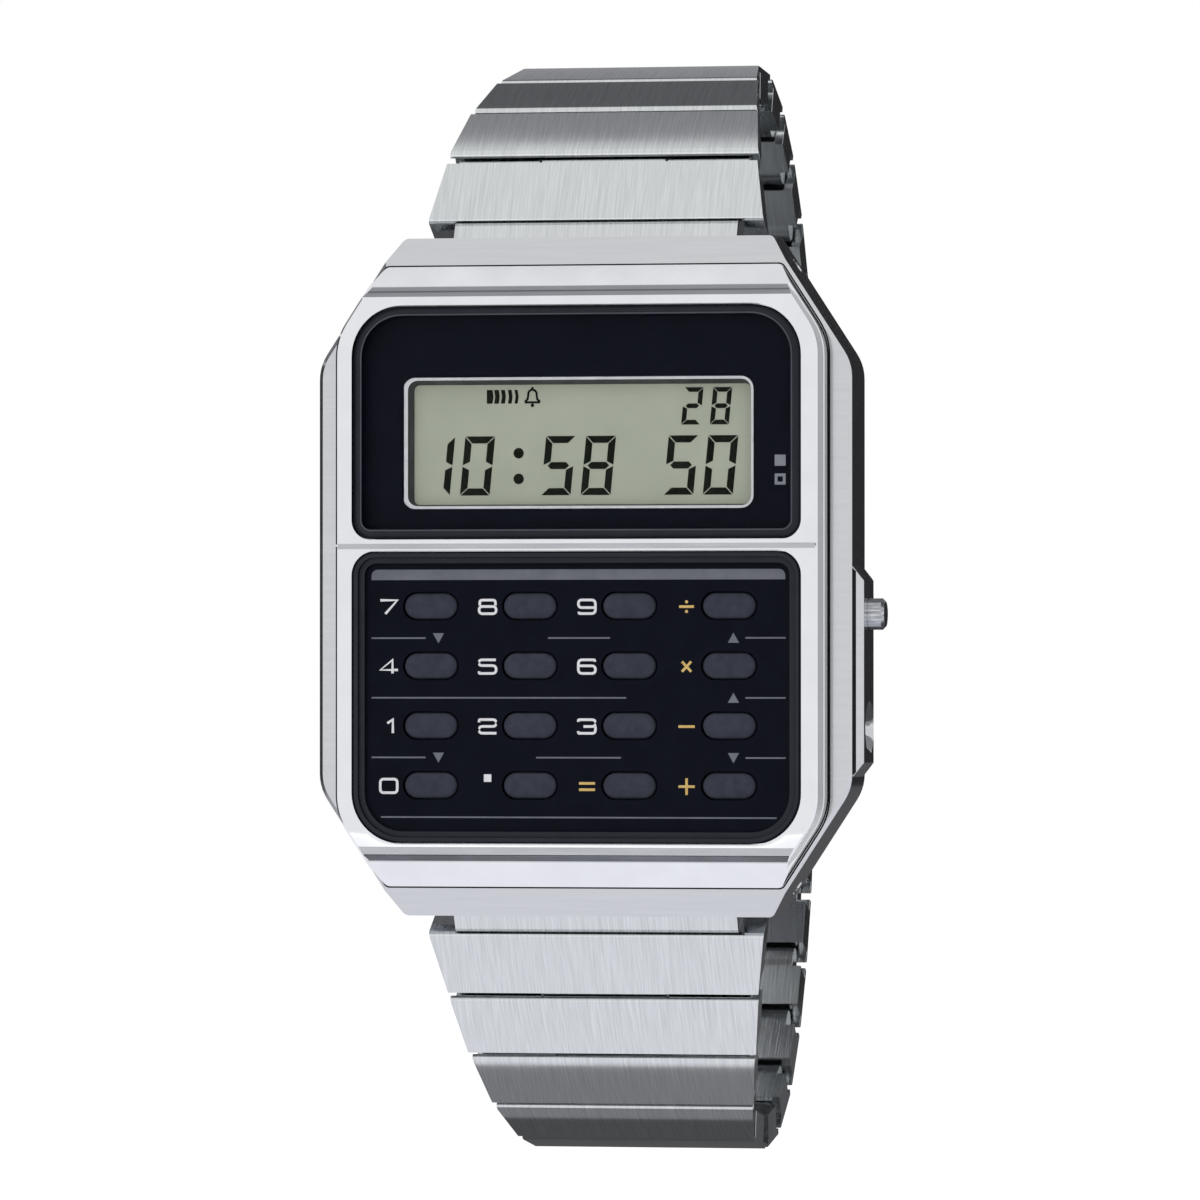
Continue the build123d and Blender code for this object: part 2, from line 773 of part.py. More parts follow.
def end_link(label, plane, length):
    """The first link: a tongue on the lug bar, then the full width of the bracelet."""
    under = length - hinge_clear
    with BuildPart() as link:
        with BuildSketch(plane):
            with BuildLine():
                Polyline((plate_start, -knuckle_radius), (under, -knuckle_radius),
                         (under, hinge_clear), (length - plate_gap / 2, hinge_clear),
                         (length - plate_gap / 2, link_top),
                         (plate_start + nose_radius, plate_start_height))
                nose(plate_start, plate_start_height)
                Line((plate_start, plate_start_height - nose_radius),
                     (plate_start, -knuckle_radius))
            make_face()
        extrude(amount=band_width(0) / 2, both=True)
        taper_to(plane, plate_start, length, band_width(0), band_width(1))
        with BuildSketch(plane):
            Circle(end_knuckle_radius)
            with Locations((plate_start / 2 + play, (end_knuckle_radius - knuckle_radius) / 2)):
                Rectangle(plate_start + 2 * play, end_knuckle_radius + knuckle_radius)
        extrude(amount=tongue_width / 2, both=True)
        with BuildSketch(plane):
            few_sided(lug_bar_radius + running_fit, hinge_sides, around=True)
        extrude(amount=tongue_width, both=True, mode=Mode.SUBTRACT)
        ears(plane, length, 1)
    with BuildPart() as lug_bar:
        with BuildSketch(plane):
            few_sided(lug_bar_radius, hinge_sides)
        extrude(amount=tongue_width / 2, both=True)
        with BuildSketch(plane):
            few_sided(lug_bar_tip_radius, hinge_sides)
        extrude(amount=lug_bar_half, both=True)
    return finish(Compound(children=[link.part, lug_bar.part]), label)


upper_hinges = half_band(upper_end_link_length, upper_end_tilt, upper_tilts, 1)
lower_hinges = half_band(lower_end_link_length, lower_end_tilt, lower_tilts, -1)
end_link("upper_end_link", link_plane(upper_hinges[0], upper_end_tilt, 1), upper_end_link_length)
for index, tilt in enumerate(upper_tilts):
    plain_link(f"upper_link_{index + 1}", link_plane(upper_hinges[index + 1], tilt, 1),
               index + 1, False)
end_link("lower_end_link", link_plane(lower_hinges[0], lower_end_tilt, -1), lower_end_link_length)
for index, tilt in enumerate(lower_tilts):
    plain_link(f"lower_link_{index + 1}", link_plane(lower_hinges[index + 1], tilt, -1),
               index + 1, index + 1 == len(lower_tilts))

# Clasp. Its plane lies along the straight run between the last two hinges.
run_y = lower_hinges[-1][0] - upper_hinges[-1][0]
run_z = lower_hinges[-1][1] - upper_hinges[-1][1]
clasp_run = hypot(run_y, run_z)
clasp_tilt = degrees(atan2(run_y, run_z))
clasp_plane = link_plane(upper_hinges[-1], clasp_tilt, 1)
last_edge = len(upper_tilts) + 1
tail_width = band_end_width - 2 * tail_side_step
print("Clasp run", round(clasp_run, 2), "mm, tilt", round(clasp_tilt, 2), "degrees")

# Straight tail of the 12 o'clock half: three fixed links, grooved where they meet
with BuildPart() as band_tail:
    with BuildSketch(clasp_plane):
        with Locations(((hinge_clear + tail_length) / 2, 0)):
            Rectangle(tail_length - hinge_clear, 2 * knuckle_radius)
        for turn in (1, 2):
            with Locations((turn * link_pitch, knuckle_radius)):
                Rectangle(tail_groove_width, 2 * tail_groove_depth, mode=Mode.SUBTRACT)
    extrude(amount=tail_width / 2, both=True)
    tongue(clasp_plane, last_edge)
finish(band_tail.part, "band_tail")

# Slider: a sheet channel round the tail, with ears for the folding blade's pin
inner_half = tail_width / 2 + play
outer_half = inner_half + sheet
channel_half = knuckle_radius + slider_play
slider_end = slider_start + slider_length
flap_height = -channel_half - sheet - flap_knuckle
across = Plane(origin=clasp_plane.from_local_coords((slider_start, 0, 0)),
               x_dir=-clasp_plane.z_dir, z_dir=clasp_plane.x_dir)
with BuildPart() as clasp_slider:
    with BuildSketch(across):
        Rectangle(2 * outer_half, 2 * (channel_half + sheet))
        Rectangle(2 * inner_half, 2 * channel_half, mode=Mode.SUBTRACT)
        with Locations((0, channel_half + sheet / 2)):
            Rectangle(2 * (inner_half - slider_return), sheet + play, mode=Mode.SUBTRACT)
    extrude(amount=slider_length)
    for side in (1, -1):
        with BuildSketch(clasp_plane.offset(side * (inner_half + outer_half) / 2)):
            with Locations((blade_pivot, blade_height)):
                Circle(slider_ear_radius)
            with BuildLine():
                Polyline((blade_pivot + slider_ear_radius, blade_height),
                         (blade_pivot - slider_ear_radius, blade_height),
                         (slider_end - 2 * slider_ear_radius, 0), (slider_end, 0), close=True)
            make_face()
            with Locations((blade_pivot, blade_height)):
                few_sided(blade_pin_radius + running_fit, hinge_sides, around=True,
                          mode=Mode.SUBTRACT)
        extrude(amount=sheet / 2, both=True)
    for side in (1, -1):
        with BuildSketch(clasp_plane.offset(side * (flap_width / 2 + flap_lug_width / 2 + play))):
            with Locations((flap_start, flap_height)):
                few_sided(flap_knuckle, hinge_sides)
            with Locations((flap_start, (flap_height - channel_half - sheet / 2) / 2)):
                Rectangle(2 * flap_knuckle, -flap_height - channel_half - sheet / 2)
            with Locations((flap_start, flap_height)):
                few_sided(flap_pin_radius + running_fit, hinge_sides, around=True,
                          mode=Mode.SUBTRACT)
        extrude(amount=flap_lug_width / 2, both=True)
finish(clasp_slider.part, "clasp_slider")

# Lock flap on the wrist side of the slider, turning on two small pins
with BuildPart() as lock_flap:
    with BuildSketch(clasp_plane):
        with Locations((flap_start, flap_height)):
            Circle(flap_knuckle)
        with Locations((flap_start + flap_length / 2, flap_height)):
            Rectangle(flap_length, sheet)
    extrude(amount=flap_width / 2, both=True)
    with BuildSketch(clasp_plane):
        with Locations((flap_start, flap_height)):
            few_sided(flap_pin_radius, hinge_sides)
    extrude(amount=flap_width / 2 + play + flap_lug_width, both=True)
finish(lock_flap.part, "lock_flap")

# Folding blade between the slider's ears and the cover, a knuckle and a pin at each end
blade_half = inner_half - play
cover_inner = band_end_width / 2 + cover_side_gap
cover_outer = cover_inner + sheet
with BuildPart() as folding_blade:
    with BuildSketch(clasp_plane):
        with Locations(((blade_hinge + blade_pivot) / 2, blade_height)):
            Rectangle(blade_pivot - blade_hinge, blade_sheet)
        with Locations((blade_hinge, blade_height)):
            Circle(blade_knuckle)
        with Locations((blade_pivot, blade_height)):
            few_sided(blade_knuckle, hinge_sides)
    extrude(amount=blade_half, both=True)
    with BuildSketch(clasp_plane):
        with Locations((blade_pivot, blade_height)):
            few_sided(blade_pin_radius, hinge_sides)
    extrude(amount=outer_half, both=True)
    with BuildSketch(clasp_plane):
        with Locations((blade_hinge, blade_height)):
            few_sided(blade_pin_radius, hinge_sides)
    extrude(amount=cover_outer, both=True)
finish(folding_blade.part, "folding_blade")

# Clasp cover: a top plate with two skirts, whose ears take the spring bar's tips
cover_end = clasp_run - cover_end_gap
cover_top = cover_height + sheet
cover_plane = Plane(origin=clasp_plane.from_local_coords((cover_start, 0, 0)),
                    x_dir=-clasp_plane.z_dir, z_dir=clasp_plane.x_dir)
with BuildPart() as clasp_cover:
    with BuildSketch(cover_plane):
        with Locations((0, (cover_top + cover_skirt) / 2)):
            Rectangle(2 * cover_outer, cover_top - cover_skirt)
        with Locations((0, (cover_height + cover_skirt - overrun) / 2)):
            Rectangle(2 * cover_inner, cover_height - cover_skirt + overrun, mode=Mode.SUBTRACT)
    extrude(amount=cover_end - cover_start)
    top_edges = clasp_cover.edges().filter_by(
        lambda e: clasp_plane.to_local_coords(e.center()).Y > cover_top - play)
    chamfer(top_edges, length=cover_edge)
    for side in (1, -1):
        with BuildSketch(clasp_plane.offset(side * (cover_outer + cover_inner) / 2)):
            with BuildLine():
                Polyline((cover_end - cover_ear_run, cover_top / 2),
                         (clasp_run, knuckle_radius), (clasp_run, -knuckle_radius),
                         (cover_end - cover_ear_run, cover_skirt), close=True)
            make_face()
            with Locations((clasp_run, 0)):
                Circle(knuckle_radius)
        extrude(amount=sheet / 2, both=True)
    with BuildSketch(clasp_plane):
        with Locations((clasp_run, 0)):
            few_sided(clasp_bar_tip_radius + running_fit, hinge_sides, around=True)
        with Locations((blade_hinge, blade_height)):
            few_sided(blade_pin_radius + running_fit, hinge_sides, around=True)
    extrude(amount=2 * cover_outer, both=True, mode=Mode.SUBTRACT)
finish(clasp_cover.part, "clasp_cover")

# Spring bar through the last lower link's knuckle, its tips in the cover's ears
with BuildPart() as clasp_spring_bar:
    with BuildSketch(clasp_plane):
        with Locations((clasp_run, 0)):
            few_sided(clasp_bar_radius, hinge_sides)
    extrude(amount=band_end_width / 2, both=True)
    with BuildSketch(clasp_plane):
        with Locations((clasp_run, 0)):
            few_sided(clasp_bar_tip_radius, hinge_sides)
    extrude(amount=cover_outer, both=True)
finish(clasp_spring_bar.part, "clasp_spring_bar")
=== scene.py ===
import math

import bpy
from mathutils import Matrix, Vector


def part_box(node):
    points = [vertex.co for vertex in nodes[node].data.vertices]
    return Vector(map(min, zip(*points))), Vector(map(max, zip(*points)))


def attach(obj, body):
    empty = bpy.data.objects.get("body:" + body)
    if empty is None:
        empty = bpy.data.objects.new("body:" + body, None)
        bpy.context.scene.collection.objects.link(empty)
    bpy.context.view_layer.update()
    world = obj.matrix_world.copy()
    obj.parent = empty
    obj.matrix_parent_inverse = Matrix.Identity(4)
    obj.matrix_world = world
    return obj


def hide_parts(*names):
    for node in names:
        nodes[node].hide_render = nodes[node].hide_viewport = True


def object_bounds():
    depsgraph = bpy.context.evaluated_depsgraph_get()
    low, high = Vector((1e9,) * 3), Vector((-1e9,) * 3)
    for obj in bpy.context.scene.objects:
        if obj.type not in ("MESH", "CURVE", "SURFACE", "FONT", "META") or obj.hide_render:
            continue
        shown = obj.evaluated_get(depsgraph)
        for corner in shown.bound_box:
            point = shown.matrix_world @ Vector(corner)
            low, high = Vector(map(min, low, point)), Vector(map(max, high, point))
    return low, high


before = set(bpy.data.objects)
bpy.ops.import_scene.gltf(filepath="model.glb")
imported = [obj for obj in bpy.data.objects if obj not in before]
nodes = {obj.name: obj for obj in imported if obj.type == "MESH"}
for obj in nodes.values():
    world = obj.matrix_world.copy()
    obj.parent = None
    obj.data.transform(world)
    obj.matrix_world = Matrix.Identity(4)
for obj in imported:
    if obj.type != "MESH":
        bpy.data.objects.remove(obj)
cad_low, cad_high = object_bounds()
scene = bpy.context.scene
scene.view_settings.view_transform = "Standard"

# Sizes below are in mm: x to the right, z up, depth behind the bezel's front face
MM = 0.001
HEAD = "watch_head"
front_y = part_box("bezel")[0][1] / MM


def at_depth(depth):
    """World Y in mm of a depth behind the bezel's front."""
    return front_y + depth


def extent(name):
    """Left, right, bottom, top, front depth and rear depth of a CAD node, in mm."""
    low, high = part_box(name)
    return (low[0] / MM, high[0] / MM, low[2] / MM, high[2] / MM,
            low[1] / MM - front_y, high[1] / MM - front_y)


# Materials
def new_material(name, base, metallic, rough, specular=0.5):
    """A Principled material with its tree and its shader."""
    material = bpy.data.materials.new(name)
    material.use_nodes = True
    tree = material.node_tree
    shader = tree.nodes["Principled BSDF"]
    shader.inputs["Base Color"].default_value = (*base, 1)
    shader.inputs["Metallic"].default_value = metallic
    shader.inputs["Roughness"].default_value = rough
    shader.inputs["Specular IOR Level"].default_value = specular
    return material, tree, shader


def noise(tree, per_mm, detail):
    """Noise with so many spots to the mm along X, Y and Z."""
    coord = tree.nodes.new("ShaderNodeTexCoord")
    mapping = tree.nodes.new("ShaderNodeMapping")
    mapping.inputs["Scale"].default_value = [count / MM for count in per_mm]
    node = tree.nodes.new("ShaderNodeTexNoise")
    node.inputs["Scale"].default_value = 1.0
    node.inputs["Detail"].default_value = detail
    tree.links.new(coord.outputs["Object"], mapping.inputs["Vector"])
    tree.links.new(mapping.outputs["Vector"], node.inputs["Vector"])
    return node.outputs["Fac"]


NOISE_RANGE = (0.3, 0.7)      # what a noise mostly keeps to


def map_range(tree, value, given, wanted):
    """Turn a value of one range into the same share of another, and no further."""
    node = tree.nodes.new("ShaderNodeMapRange")
    for socket, number in zip(("From Min", "From Max", "To Min", "To Max"), (*given, *wanted)):
        node.inputs[socket].default_value = number
    tree.links.new(value, node.inputs["Value"])
    return node.outputs["Result"]


def two_tone(tree, value, dark, light):
    """Turn a noise into colours from dark to light."""
    node = tree.nodes.new("ShaderNodeValToRGB")
    for element, place, colour in zip(node.color_ramp.elements, NOISE_RANGE, (dark, light)):
        element.position = place
        element.color = (*colour, 1)
    tree.links.new(value, node.inputs["Fac"])
    return node.outputs["Color"]


def combine(tree, operation, first, second):
    """Put two values through one step of arithmetic."""
    node = tree.nodes.new("ShaderNodeMath")
    node.operation = operation
    tree.links.new(first, node.inputs[0])
    tree.links.new(second, node.inputs[1])
    return node.outputs[0]


def bump(tree, shader, height, microns):
    """Let a noise raise the surface by so many microns."""
    node = tree.nodes.new("ShaderNodeBump")
    node.inputs["Strength"].default_value = 1.0
    node.inputs["Distance"].default_value = microns * 1e-6
    tree.links.new(height, node.inputs["Height"])
    tree.links.new(node.outputs["Normal"], shader.inputs["Normal"])


STEEL_CLOUDS = 0.3      # to the mm
CLOUD_SIZE = 8          # a plastic's clouds, beside its specks


def steel(name, dark, light, rough, grain, microns):
    """Steel whose grain runs along the axes with the fewest spots to the mm."""
    mean = [(a + b) / 2 for a, b in zip(dark, light)]
    material, tree, shader = new_material(name, mean, 1.0, sum(rough) / 2)
    streaks = noise(tree, grain, detail=4.0)
    clouds = noise(tree, (STEEL_CLOUDS,) * 3, detail=2.0)
    tree.links.new(two_tone(tree, streaks, dark, light), shader.inputs["Base Color"])
    tree.links.new(map_range(tree, clouds, NOISE_RANGE, rough), shader.inputs["Roughness"])
    bump(tree, shader, streaks, microns)
    return material


def plastic(name, dark, light, rough, per_mm, microns=1.0, specular=0.5):
    """Moulded, printed or painted surface with a fine mottle."""
    mean = [(a + b) / 2 for a, b in zip(dark, light)]
    material, tree, shader = new_material(name, mean, 0.0, sum(rough) / 2, specular)
    specks = noise(tree, (per_mm,) * 3, detail=5.0)
    clouds = noise(tree, (per_mm / CLOUD_SIZE,) * 3, detail=2.0)
    tree.links.new(two_tone(tree, clouds, dark, light), shader.inputs["Base Color"])
    tree.links.new(map_range(tree, specks, NOISE_RANGE, rough), shader.inputs["Roughness"])
    bump(tree, shader, specks, microns)
    return material


# A face's normal where it gets painted shade and where it no longer does, and how dark the painted
# shade is
STEP_FACING, STEP_SHADE = (-0.30, -0.42), 0.17
SLOPE_FACING, SLOPE_SHADE = (-0.87, -0.82), 0.26


def paint_wall_shade(material):
    """Paint shade into the base colour of a bezel's steps and the foot of its lower slope, by
    their facing.
    """
    tree = material.node_tree
    shader = tree.nodes["Principled BSDF"]
    colour = shader.inputs["Base Color"].links[0].from_socket
    geometry = tree.nodes.new("ShaderNodeNewGeometry")
    parts = tree.nodes.new("ShaderNodeSeparateXYZ")
    tree.links.new(geometry.outputs["Normal"], parts.inputs["Vector"])
    steps = map_range(tree, parts.outputs["Y"], STEP_FACING, (STEP_SHADE, 1.0))
    slope = map_range(tree, parts.outputs["Z"], SLOPE_FACING, (SLOPE_SHADE, 1.0))
    scale = tree.nodes.new("ShaderNodeVectorMath")
    scale.operation = "SCALE"
    tree.links.new(colour, scale.inputs[0])
    tree.links.new(combine(tree, "MINIMUM", steps, slope), scale.inputs["Scale"])
    tree.links.new(scale.outputs["Vector"], shader.inputs["Base Color"])


# Steels: dark and light tone, roughness, grain to the mm along X, Y and Z, bump in microns
polished = steel("polished_chrome", (0.735, 0.745, 0.775), (0.775, 0.785, 0.815),
                 (0.07, 0.11), (0.4, 0.4, 0.4), 0.15)
# Painted shade on the polished bezel's steps and on the foot of its lower slope
paint_wall_shade(polished)
knurled = steel("knurled_button", (0.20, 0.21, 0.23), (0.62, 0.63, 0.66),
                (0.16, 0.24), (0.5, 6.0, 6.0), 14.0)
# Dark steel for painted shade laid over the bezel's lower crease
painted_crease_shade = steel("painted_crease_shade", (0.25, 0.26, 0.29), (0.31, 0.32, 0.35),
                     (0.20, 0.30), (0.3, 3.0, 3.0), 0.6)
# Mid-grey steel for painted shade: the bezel's groove strip and the edge above its lower crease
painted_shade_steel = steel("painted_shade_grey", (0.42, 0.43, 0.46), (0.48, 0.49, 0.52),
                    (0.16, 0.24), (0.3, 3.0, 3.0), 0.6)
satin = steel("satin_case", (0.555, 0.565, 0.585), (0.585, 0.595, 0.615),
              (0.12, 0.16), (0.2, 4.0, 4.0), 0.3)
brushed = steel("brushed_link", (0.53, 0.55, 0.56), (0.66, 0.68, 0.69),
                (0.135, 0.165), (10.0, 0.3, 0.3), 4.0)
small_steel = steel("satin_small", (0.50, 0.51, 0.53), (0.62, 0.63, 0.65),
                    (0.24, 0.34), (3.0, 3.0, 3.0), 1.0)
silver = steel("display_trim", (0.60, 0.61, 0.64), (0.68, 0.69, 0.72),
               (0.22, 0.30), (1.5, 1.5, 1.5), 0.5)
brass = steel("contact_brass", (0.62, 0.46, 0.20), (0.74, 0.56, 0.27),
              (0.30, 0.42), (2.0, 2.0, 2.0), 1.0)

# Plastics: dark and light tone, roughness, specks to the mm, bump in microns, specular level
black_face = plastic("black_face", (0.0022, 0.0030, 0.0080), (0.0034, 0.0044, 0.0110),
                     (0.30, 0.40), 6.0, 0.3, 0.05)
black_rim = plastic("black_rim", (0.010, 0.012, 0.019), (0.015, 0.017, 0.026),
                    (0.32, 0.42), 5.0, 0.4, 0.2)
black_inner = plastic("black_inner", (0.012, 0.012, 0.013), (0.020, 0.020, 0.022),
                      (0.40, 0.55), 5.0, 1.5)
key_rubber = plastic("key_grey", (0.030, 0.034, 0.050), (0.042, 0.047, 0.066),
                     (0.55, 0.70), 14.0, 4.0, 0.15)
grey_rubber = plastic("membrane_rubber", (0.10, 0.10, 0.11), (0.14, 0.14, 0.15),
                      (0.55, 0.70), 6.0, 2.0)
board_green = plastic("board_green", (0.010, 0.060, 0.030), (0.020, 0.095, 0.045),
                      (0.35, 0.50), 3.0)
lcd_ground = plastic("lcd_ground", (0.545, 0.590, 0.475), (0.580, 0.625, 0.510),
                     (0.35, 0.45), 3.0, 0.3, 0.1)
# Dark grey for the painted shadow on the display frame's inner wall
display_shade = plastic("display_shade", (0.050, 0.054, 0.056), (0.085, 0.090, 0.092),
                        (0.40, 0.50), 4.0, 0.5, 0.2)
# Black for the seam round the bezel's foot, and for painted shade in the button guard's gap
seam_and_gap_shade = plastic("seam_and_gap_shade", (0.010, 0.010, 0.012), (0.018, 0.018, 0.021),
                     (0.50, 0.60), 6.0, 0.5, 0.1)
lcd_ink = plastic("lcd_ink", (0.006, 0.009, 0.004), (0.012, 0.015, 0.009),
                  (0.45, 0.55), 8.0, 0.3, 0.05)
print_white = plastic("print_white", (0.74, 0.74, 0.78), (0.82, 0.82, 0.86),
                      (0.45, 0.60), 9.0, 0.8, 0.2)
print_grey = plastic("print_grey", (0.135, 0.142, 0.178), (0.165, 0.172, 0.208),
                     (0.45, 0.60), 9.0, 0.8, 0.2)
print_light = plastic("print_light", (0.28, 0.30, 0.35), (0.32, 0.34, 0.39),
                      (0.45, 0.60), 9.0, 0.8, 0.2)
# Blue-grey for a painted highlight along the lens rim
painted_rim_highlight = plastic("painted_rim_highlight", (0.055, 0.058, 0.080), (0.070, 0.074, 0.098),
                    (0.32, 0.42), 5.0, 0.4, 0.2)
print_gold = plastic("print_gold", (0.56, 0.37, 0.11), (0.70, 0.48, 0.17),
                     (0.40, 0.55), 9.0, 0.8, 0.3)
lens_clear = plastic("lens_clear", (0.004, 0.005, 0.012), (0.006, 0.007, 0.016),
                     (0.03, 0.06), 2.0, 0.1, 0.2)
lens_clear.node_tree.nodes["Principled BSDF"].inputs["Alpha"].default_value = 0.07

# CAD nodes: facets welded and shaded smooth, fine edges, a material each
WELD = 0.002            # mm between points that become one
SMOOTH_BELOW = 32       # degrees between faces that are shaded as one
ROUND_ABOVE = 50        # and between faces whose edge is rounded


def soften_group():
    """Geometry nodes that weld the facets and shade them smooth below an angle."""
    group = bpy.data.node_groups.new("soften", "GeometryNodeTree")
    group.interface.new_socket("Geometry", in_out="INPUT", socket_type="NodeSocketGeometry")
    group.interface.new_socket("Geometry", in_out="OUTPUT", socket_type="NodeSocketGeometry")
    add, link = group.nodes.new, group.links.new
    start, end = add("NodeGroupInput"), add("NodeGroupOutput")
    forget = add("GeometryNodeRemoveAttribute")
    forget.inputs["Name"].default_value = "custom_normal"
    weld = add("GeometryNodeMergeByDistance")
    weld.inputs["Distance"].default_value = WELD * MM
    faces = add("GeometryNodeSetShadeSmooth")
    edges = add("GeometryNodeSetShadeSmooth")
    edges.domain = "EDGE"
    angle = add("GeometryNodeInputMeshEdgeAngle")
    below = add("FunctionNodeCompare")
    below.operation = "LESS_THAN"
    below.inputs["B"].default_value = math.radians(SMOOTH_BELOW)
    link(start.outputs[0], forget.inputs["Geometry"])
    link(forget.outputs["Geometry"], weld.inputs["Geometry"])
    link(weld.outputs["Geometry"], faces.inputs["Geometry"])
    link(faces.outputs["Geometry"], edges.inputs["Geometry"])
    link(angle.outputs["Unsigned Angle"], below.inputs["A"])
    link(below.outputs["Result"], edges.inputs["Shade Smooth"])
    link(edges.outputs["Geometry"], end.inputs[0])
    return group


soften = soften_group()


def smooth(piece, edge=0.0):
    """Shade a piece smooth and round its edges by so many mm."""
    modifier = piece.modifiers.new("soften", "NODES")
    modifier.node_group = soften
    if edge:
        bevel = piece.modifiers.new("edge", "BEVEL")
        bevel.width = edge * MM
        bevel.segments = 2
        bevel.limit_method = "ANGLE"
        bevel.angle_limit = math.radians(ROUND_ABOVE)
        bevel.harden_normals = True


def dress(name, material, edge=0.0):
    """Give a CAD node its material and its soft edges."""
    for slot in nodes[name].material_slots:
        slot.material = material
    smooth(nodes[name], edge)


dress("case", satin, 0.08)
dress("bezel", polished, 0.06)
dress("dial_plate", black_face)
dress("display_frame", silver)
dress("lcd_panel", lcd_ground)
dress("keypad_plate", black_face)
dress("key_membrane", grey_rubber)
dress("circuit_board", board_green)
dress("module_frame", black_inner)
dress("battery", small_steel)
dress("buzzer", brass)
dress("case_gasket", black_inner)
dress("case_back", satin, 0.05)
dress("case_back_screws", small_steel, 0.03)
dress("mode_button", knurled, 0.05)
dress("set_button", small_steel, 0.04)
dress("lens", lens_clear)
dress("upper_end_link", brushed, 0.07)
dress("lower_end_link", brushed, 0.07)
for name in nodes:
    if "_link_" in name:
        dress(name, brushed, 0.07)
    elif name.startswith("key_") and name != "key_membrane":
        dress(name, key_rubber)
for name in ("band_tail", "clasp_slider", "lock_flap", "folding_blade", "clasp_cover"):
    dress(name, brushed, 0.06)
dress("clasp_spring_bar", small_steel)


# Outlines: lists of (x, z) points in mm, anticlockwise as the camera sees them
def arc(x, z, radius, start, end, steps):
    """Points round x, z from one angle to another."""
    turns = [math.radians(start + (end - start) * step / steps) for step in range(steps + 1)]
    return [(x + radius * math.cos(turn), z + radius * math.sin(turn)) for turn in turns]


def dot(x, z, radius, sides):
    """A small disc with so many sides."""
    return arc(x, z, radius, 0, 360 - 360 / sides, sides - 1)


def rectangle(left, right, bottom, top):
    return [(left, bottom), (right, bottom), (right, top), (left, top)]


def square(x, z, half):
    return rectangle(x - half, x + half, z - half, z + half)


def trapezium(bottom_half, top_half, bottom, top):
    """A shape that is even about the middle, by half its width at the bottom and the top."""
    return [(-bottom_half, bottom), (bottom_half, bottom), (top_half, top), (-top_half, top)]


def rounded(left, right, bottom, top, low_radius, high_radius, steps=10):
    """A rectangle with one radius for its two lower corners and one for the upper ones."""
    low, high = low_radius, high_radius
    return (arc(left + low, bottom + low, low, 180, 270, steps)
            + arc(right - low, bottom + low, low, 270, 360, steps)
            + arc(right - high, top - high, high, 0, 90, steps)
            + arc(left + high, top - high, high, 90, 180, steps))


def bend(before, corner, after, reach, steps=4):
    """Points of a soft corner between two straight runs."""
    into, out = Vector(before) - Vector(corner), Vector(after) - Vector(corner)
    reach = min(reach, into.length / 2, out.length / 2)
    start, end = into.normalized() * reach, out.normalized() * reach
    points = []
    for step in range(steps + 1):
        share = step / steps
        turn = start * (1 - share) ** 2 + end * share ** 2
        points.append((corner[0] + turn.x, corner[1] + turn.y))
    return points


def to_world(point, depth):
    """An outline's point as a vector in metres."""
    return Vector((point[0], at_depth(depth), point[1])) * MM


def new_piece(name, vertices, faces, material, body, face_slots=None):
    """A mesh piece that rides on a body; material may be a list of materials."""
    mesh = bpy.data.meshes.new(name)
    mesh.from_pydata(vertices, [], faces)
    for entry in (material if isinstance(material, list) else [material]):
        mesh.materials.append(entry)
    if face_slots:
        mesh.polygons.foreach_set("material_index", face_slots)
    mesh.update()
    piece = bpy.data.objects.new(name, mesh)
    scene.collection.objects.link(piece)
    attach(piece, body)
    return piece


def loft(name, rings, material, body, closed=False, face_slots=None):
    """Skin over rings of (outline, depth); the ends are capped, or joined when closed."""
    vertices = [to_world(point, depth) for outline, depth in rings for point in outline]
    count = len(rings[0][0])
    faces = []
    for ring in range(len(rings) if closed else len(rings) - 1):
        here, there = ring * count, (ring + 1) % len(rings) * count
        for index in range(count):
            after = (index + 1) % count
            faces.append((here + index, here + after, there + after, there + index))
    if not closed:
        faces.append(tuple(reversed(range(count))))
        faces.append(tuple(range((len(rings) - 1) * count, len(rings) * count)))
    slots = None
    if face_slots:
        slots = [face_slots[min(index // count, len(face_slots) - 1)]
                 for index in range(len(faces))]
    return new_piece(name, vertices, faces, material, body, slots)


def plate(name, layers, material, body):
    """Flat layers of (outlines, front depth, rear depth) in one piece, holes cut by outlines."""
    vertices, faces = [], []
    for outlines, front, rear in layers:
        curve = bpy.data.curves.new(name, "CURVE")
        curve.dimensions = "2D"
        curve.fill_mode = "BOTH"
        curve.extrude = (rear - front) / 2
        for outline in outlines:
            spline = curve.splines.new("POLY")
            spline.points.add(len(outline) - 1)
            for point, (x, z) in zip(spline.points, outline):
                point.co = (x, z, 0, 1)
            spline.use_cyclic_u = True
        holder = bpy.data.objects.new(name, curve)
        mesh = bpy.data.meshes.new_from_object(holder)
        start = len(vertices)
        vertices += [to_world((v.co.x, v.co.y), (front + rear) / 2 - v.co.z)
                     for v in mesh.vertices]
        faces += [tuple(start + index for index in face.vertices) for face in mesh.polygons]
        bpy.data.objects.remove(holder)
        bpy.data.meshes.remove(mesh)
        bpy.data.curves.remove(curve)
    return new_piece(name, vertices, faces, material, body)


PRINT = 0.008           # how far a print stands on its surface
LAYER = 0.0012          # and its strokes above each other, in turns
LAYERS = 4
SHARPEST = 0.3          # keeps the mitre of a sharp turn short


def printed(name, outlines, depth, material):
    """Thin flat print: one face for each outline, on the surface at that depth."""
    vertices, faces = [], []
    for index, outline in enumerate(outlines):
        height = PRINT + LAYER * (index % LAYERS)
        faces.append(tuple(range(len(vertices), len(vertices) + len(outline))))
        vertices += [to_world(point, depth - height) for point in outline]
    new_piece(name, vertices, faces, material, HEAD)


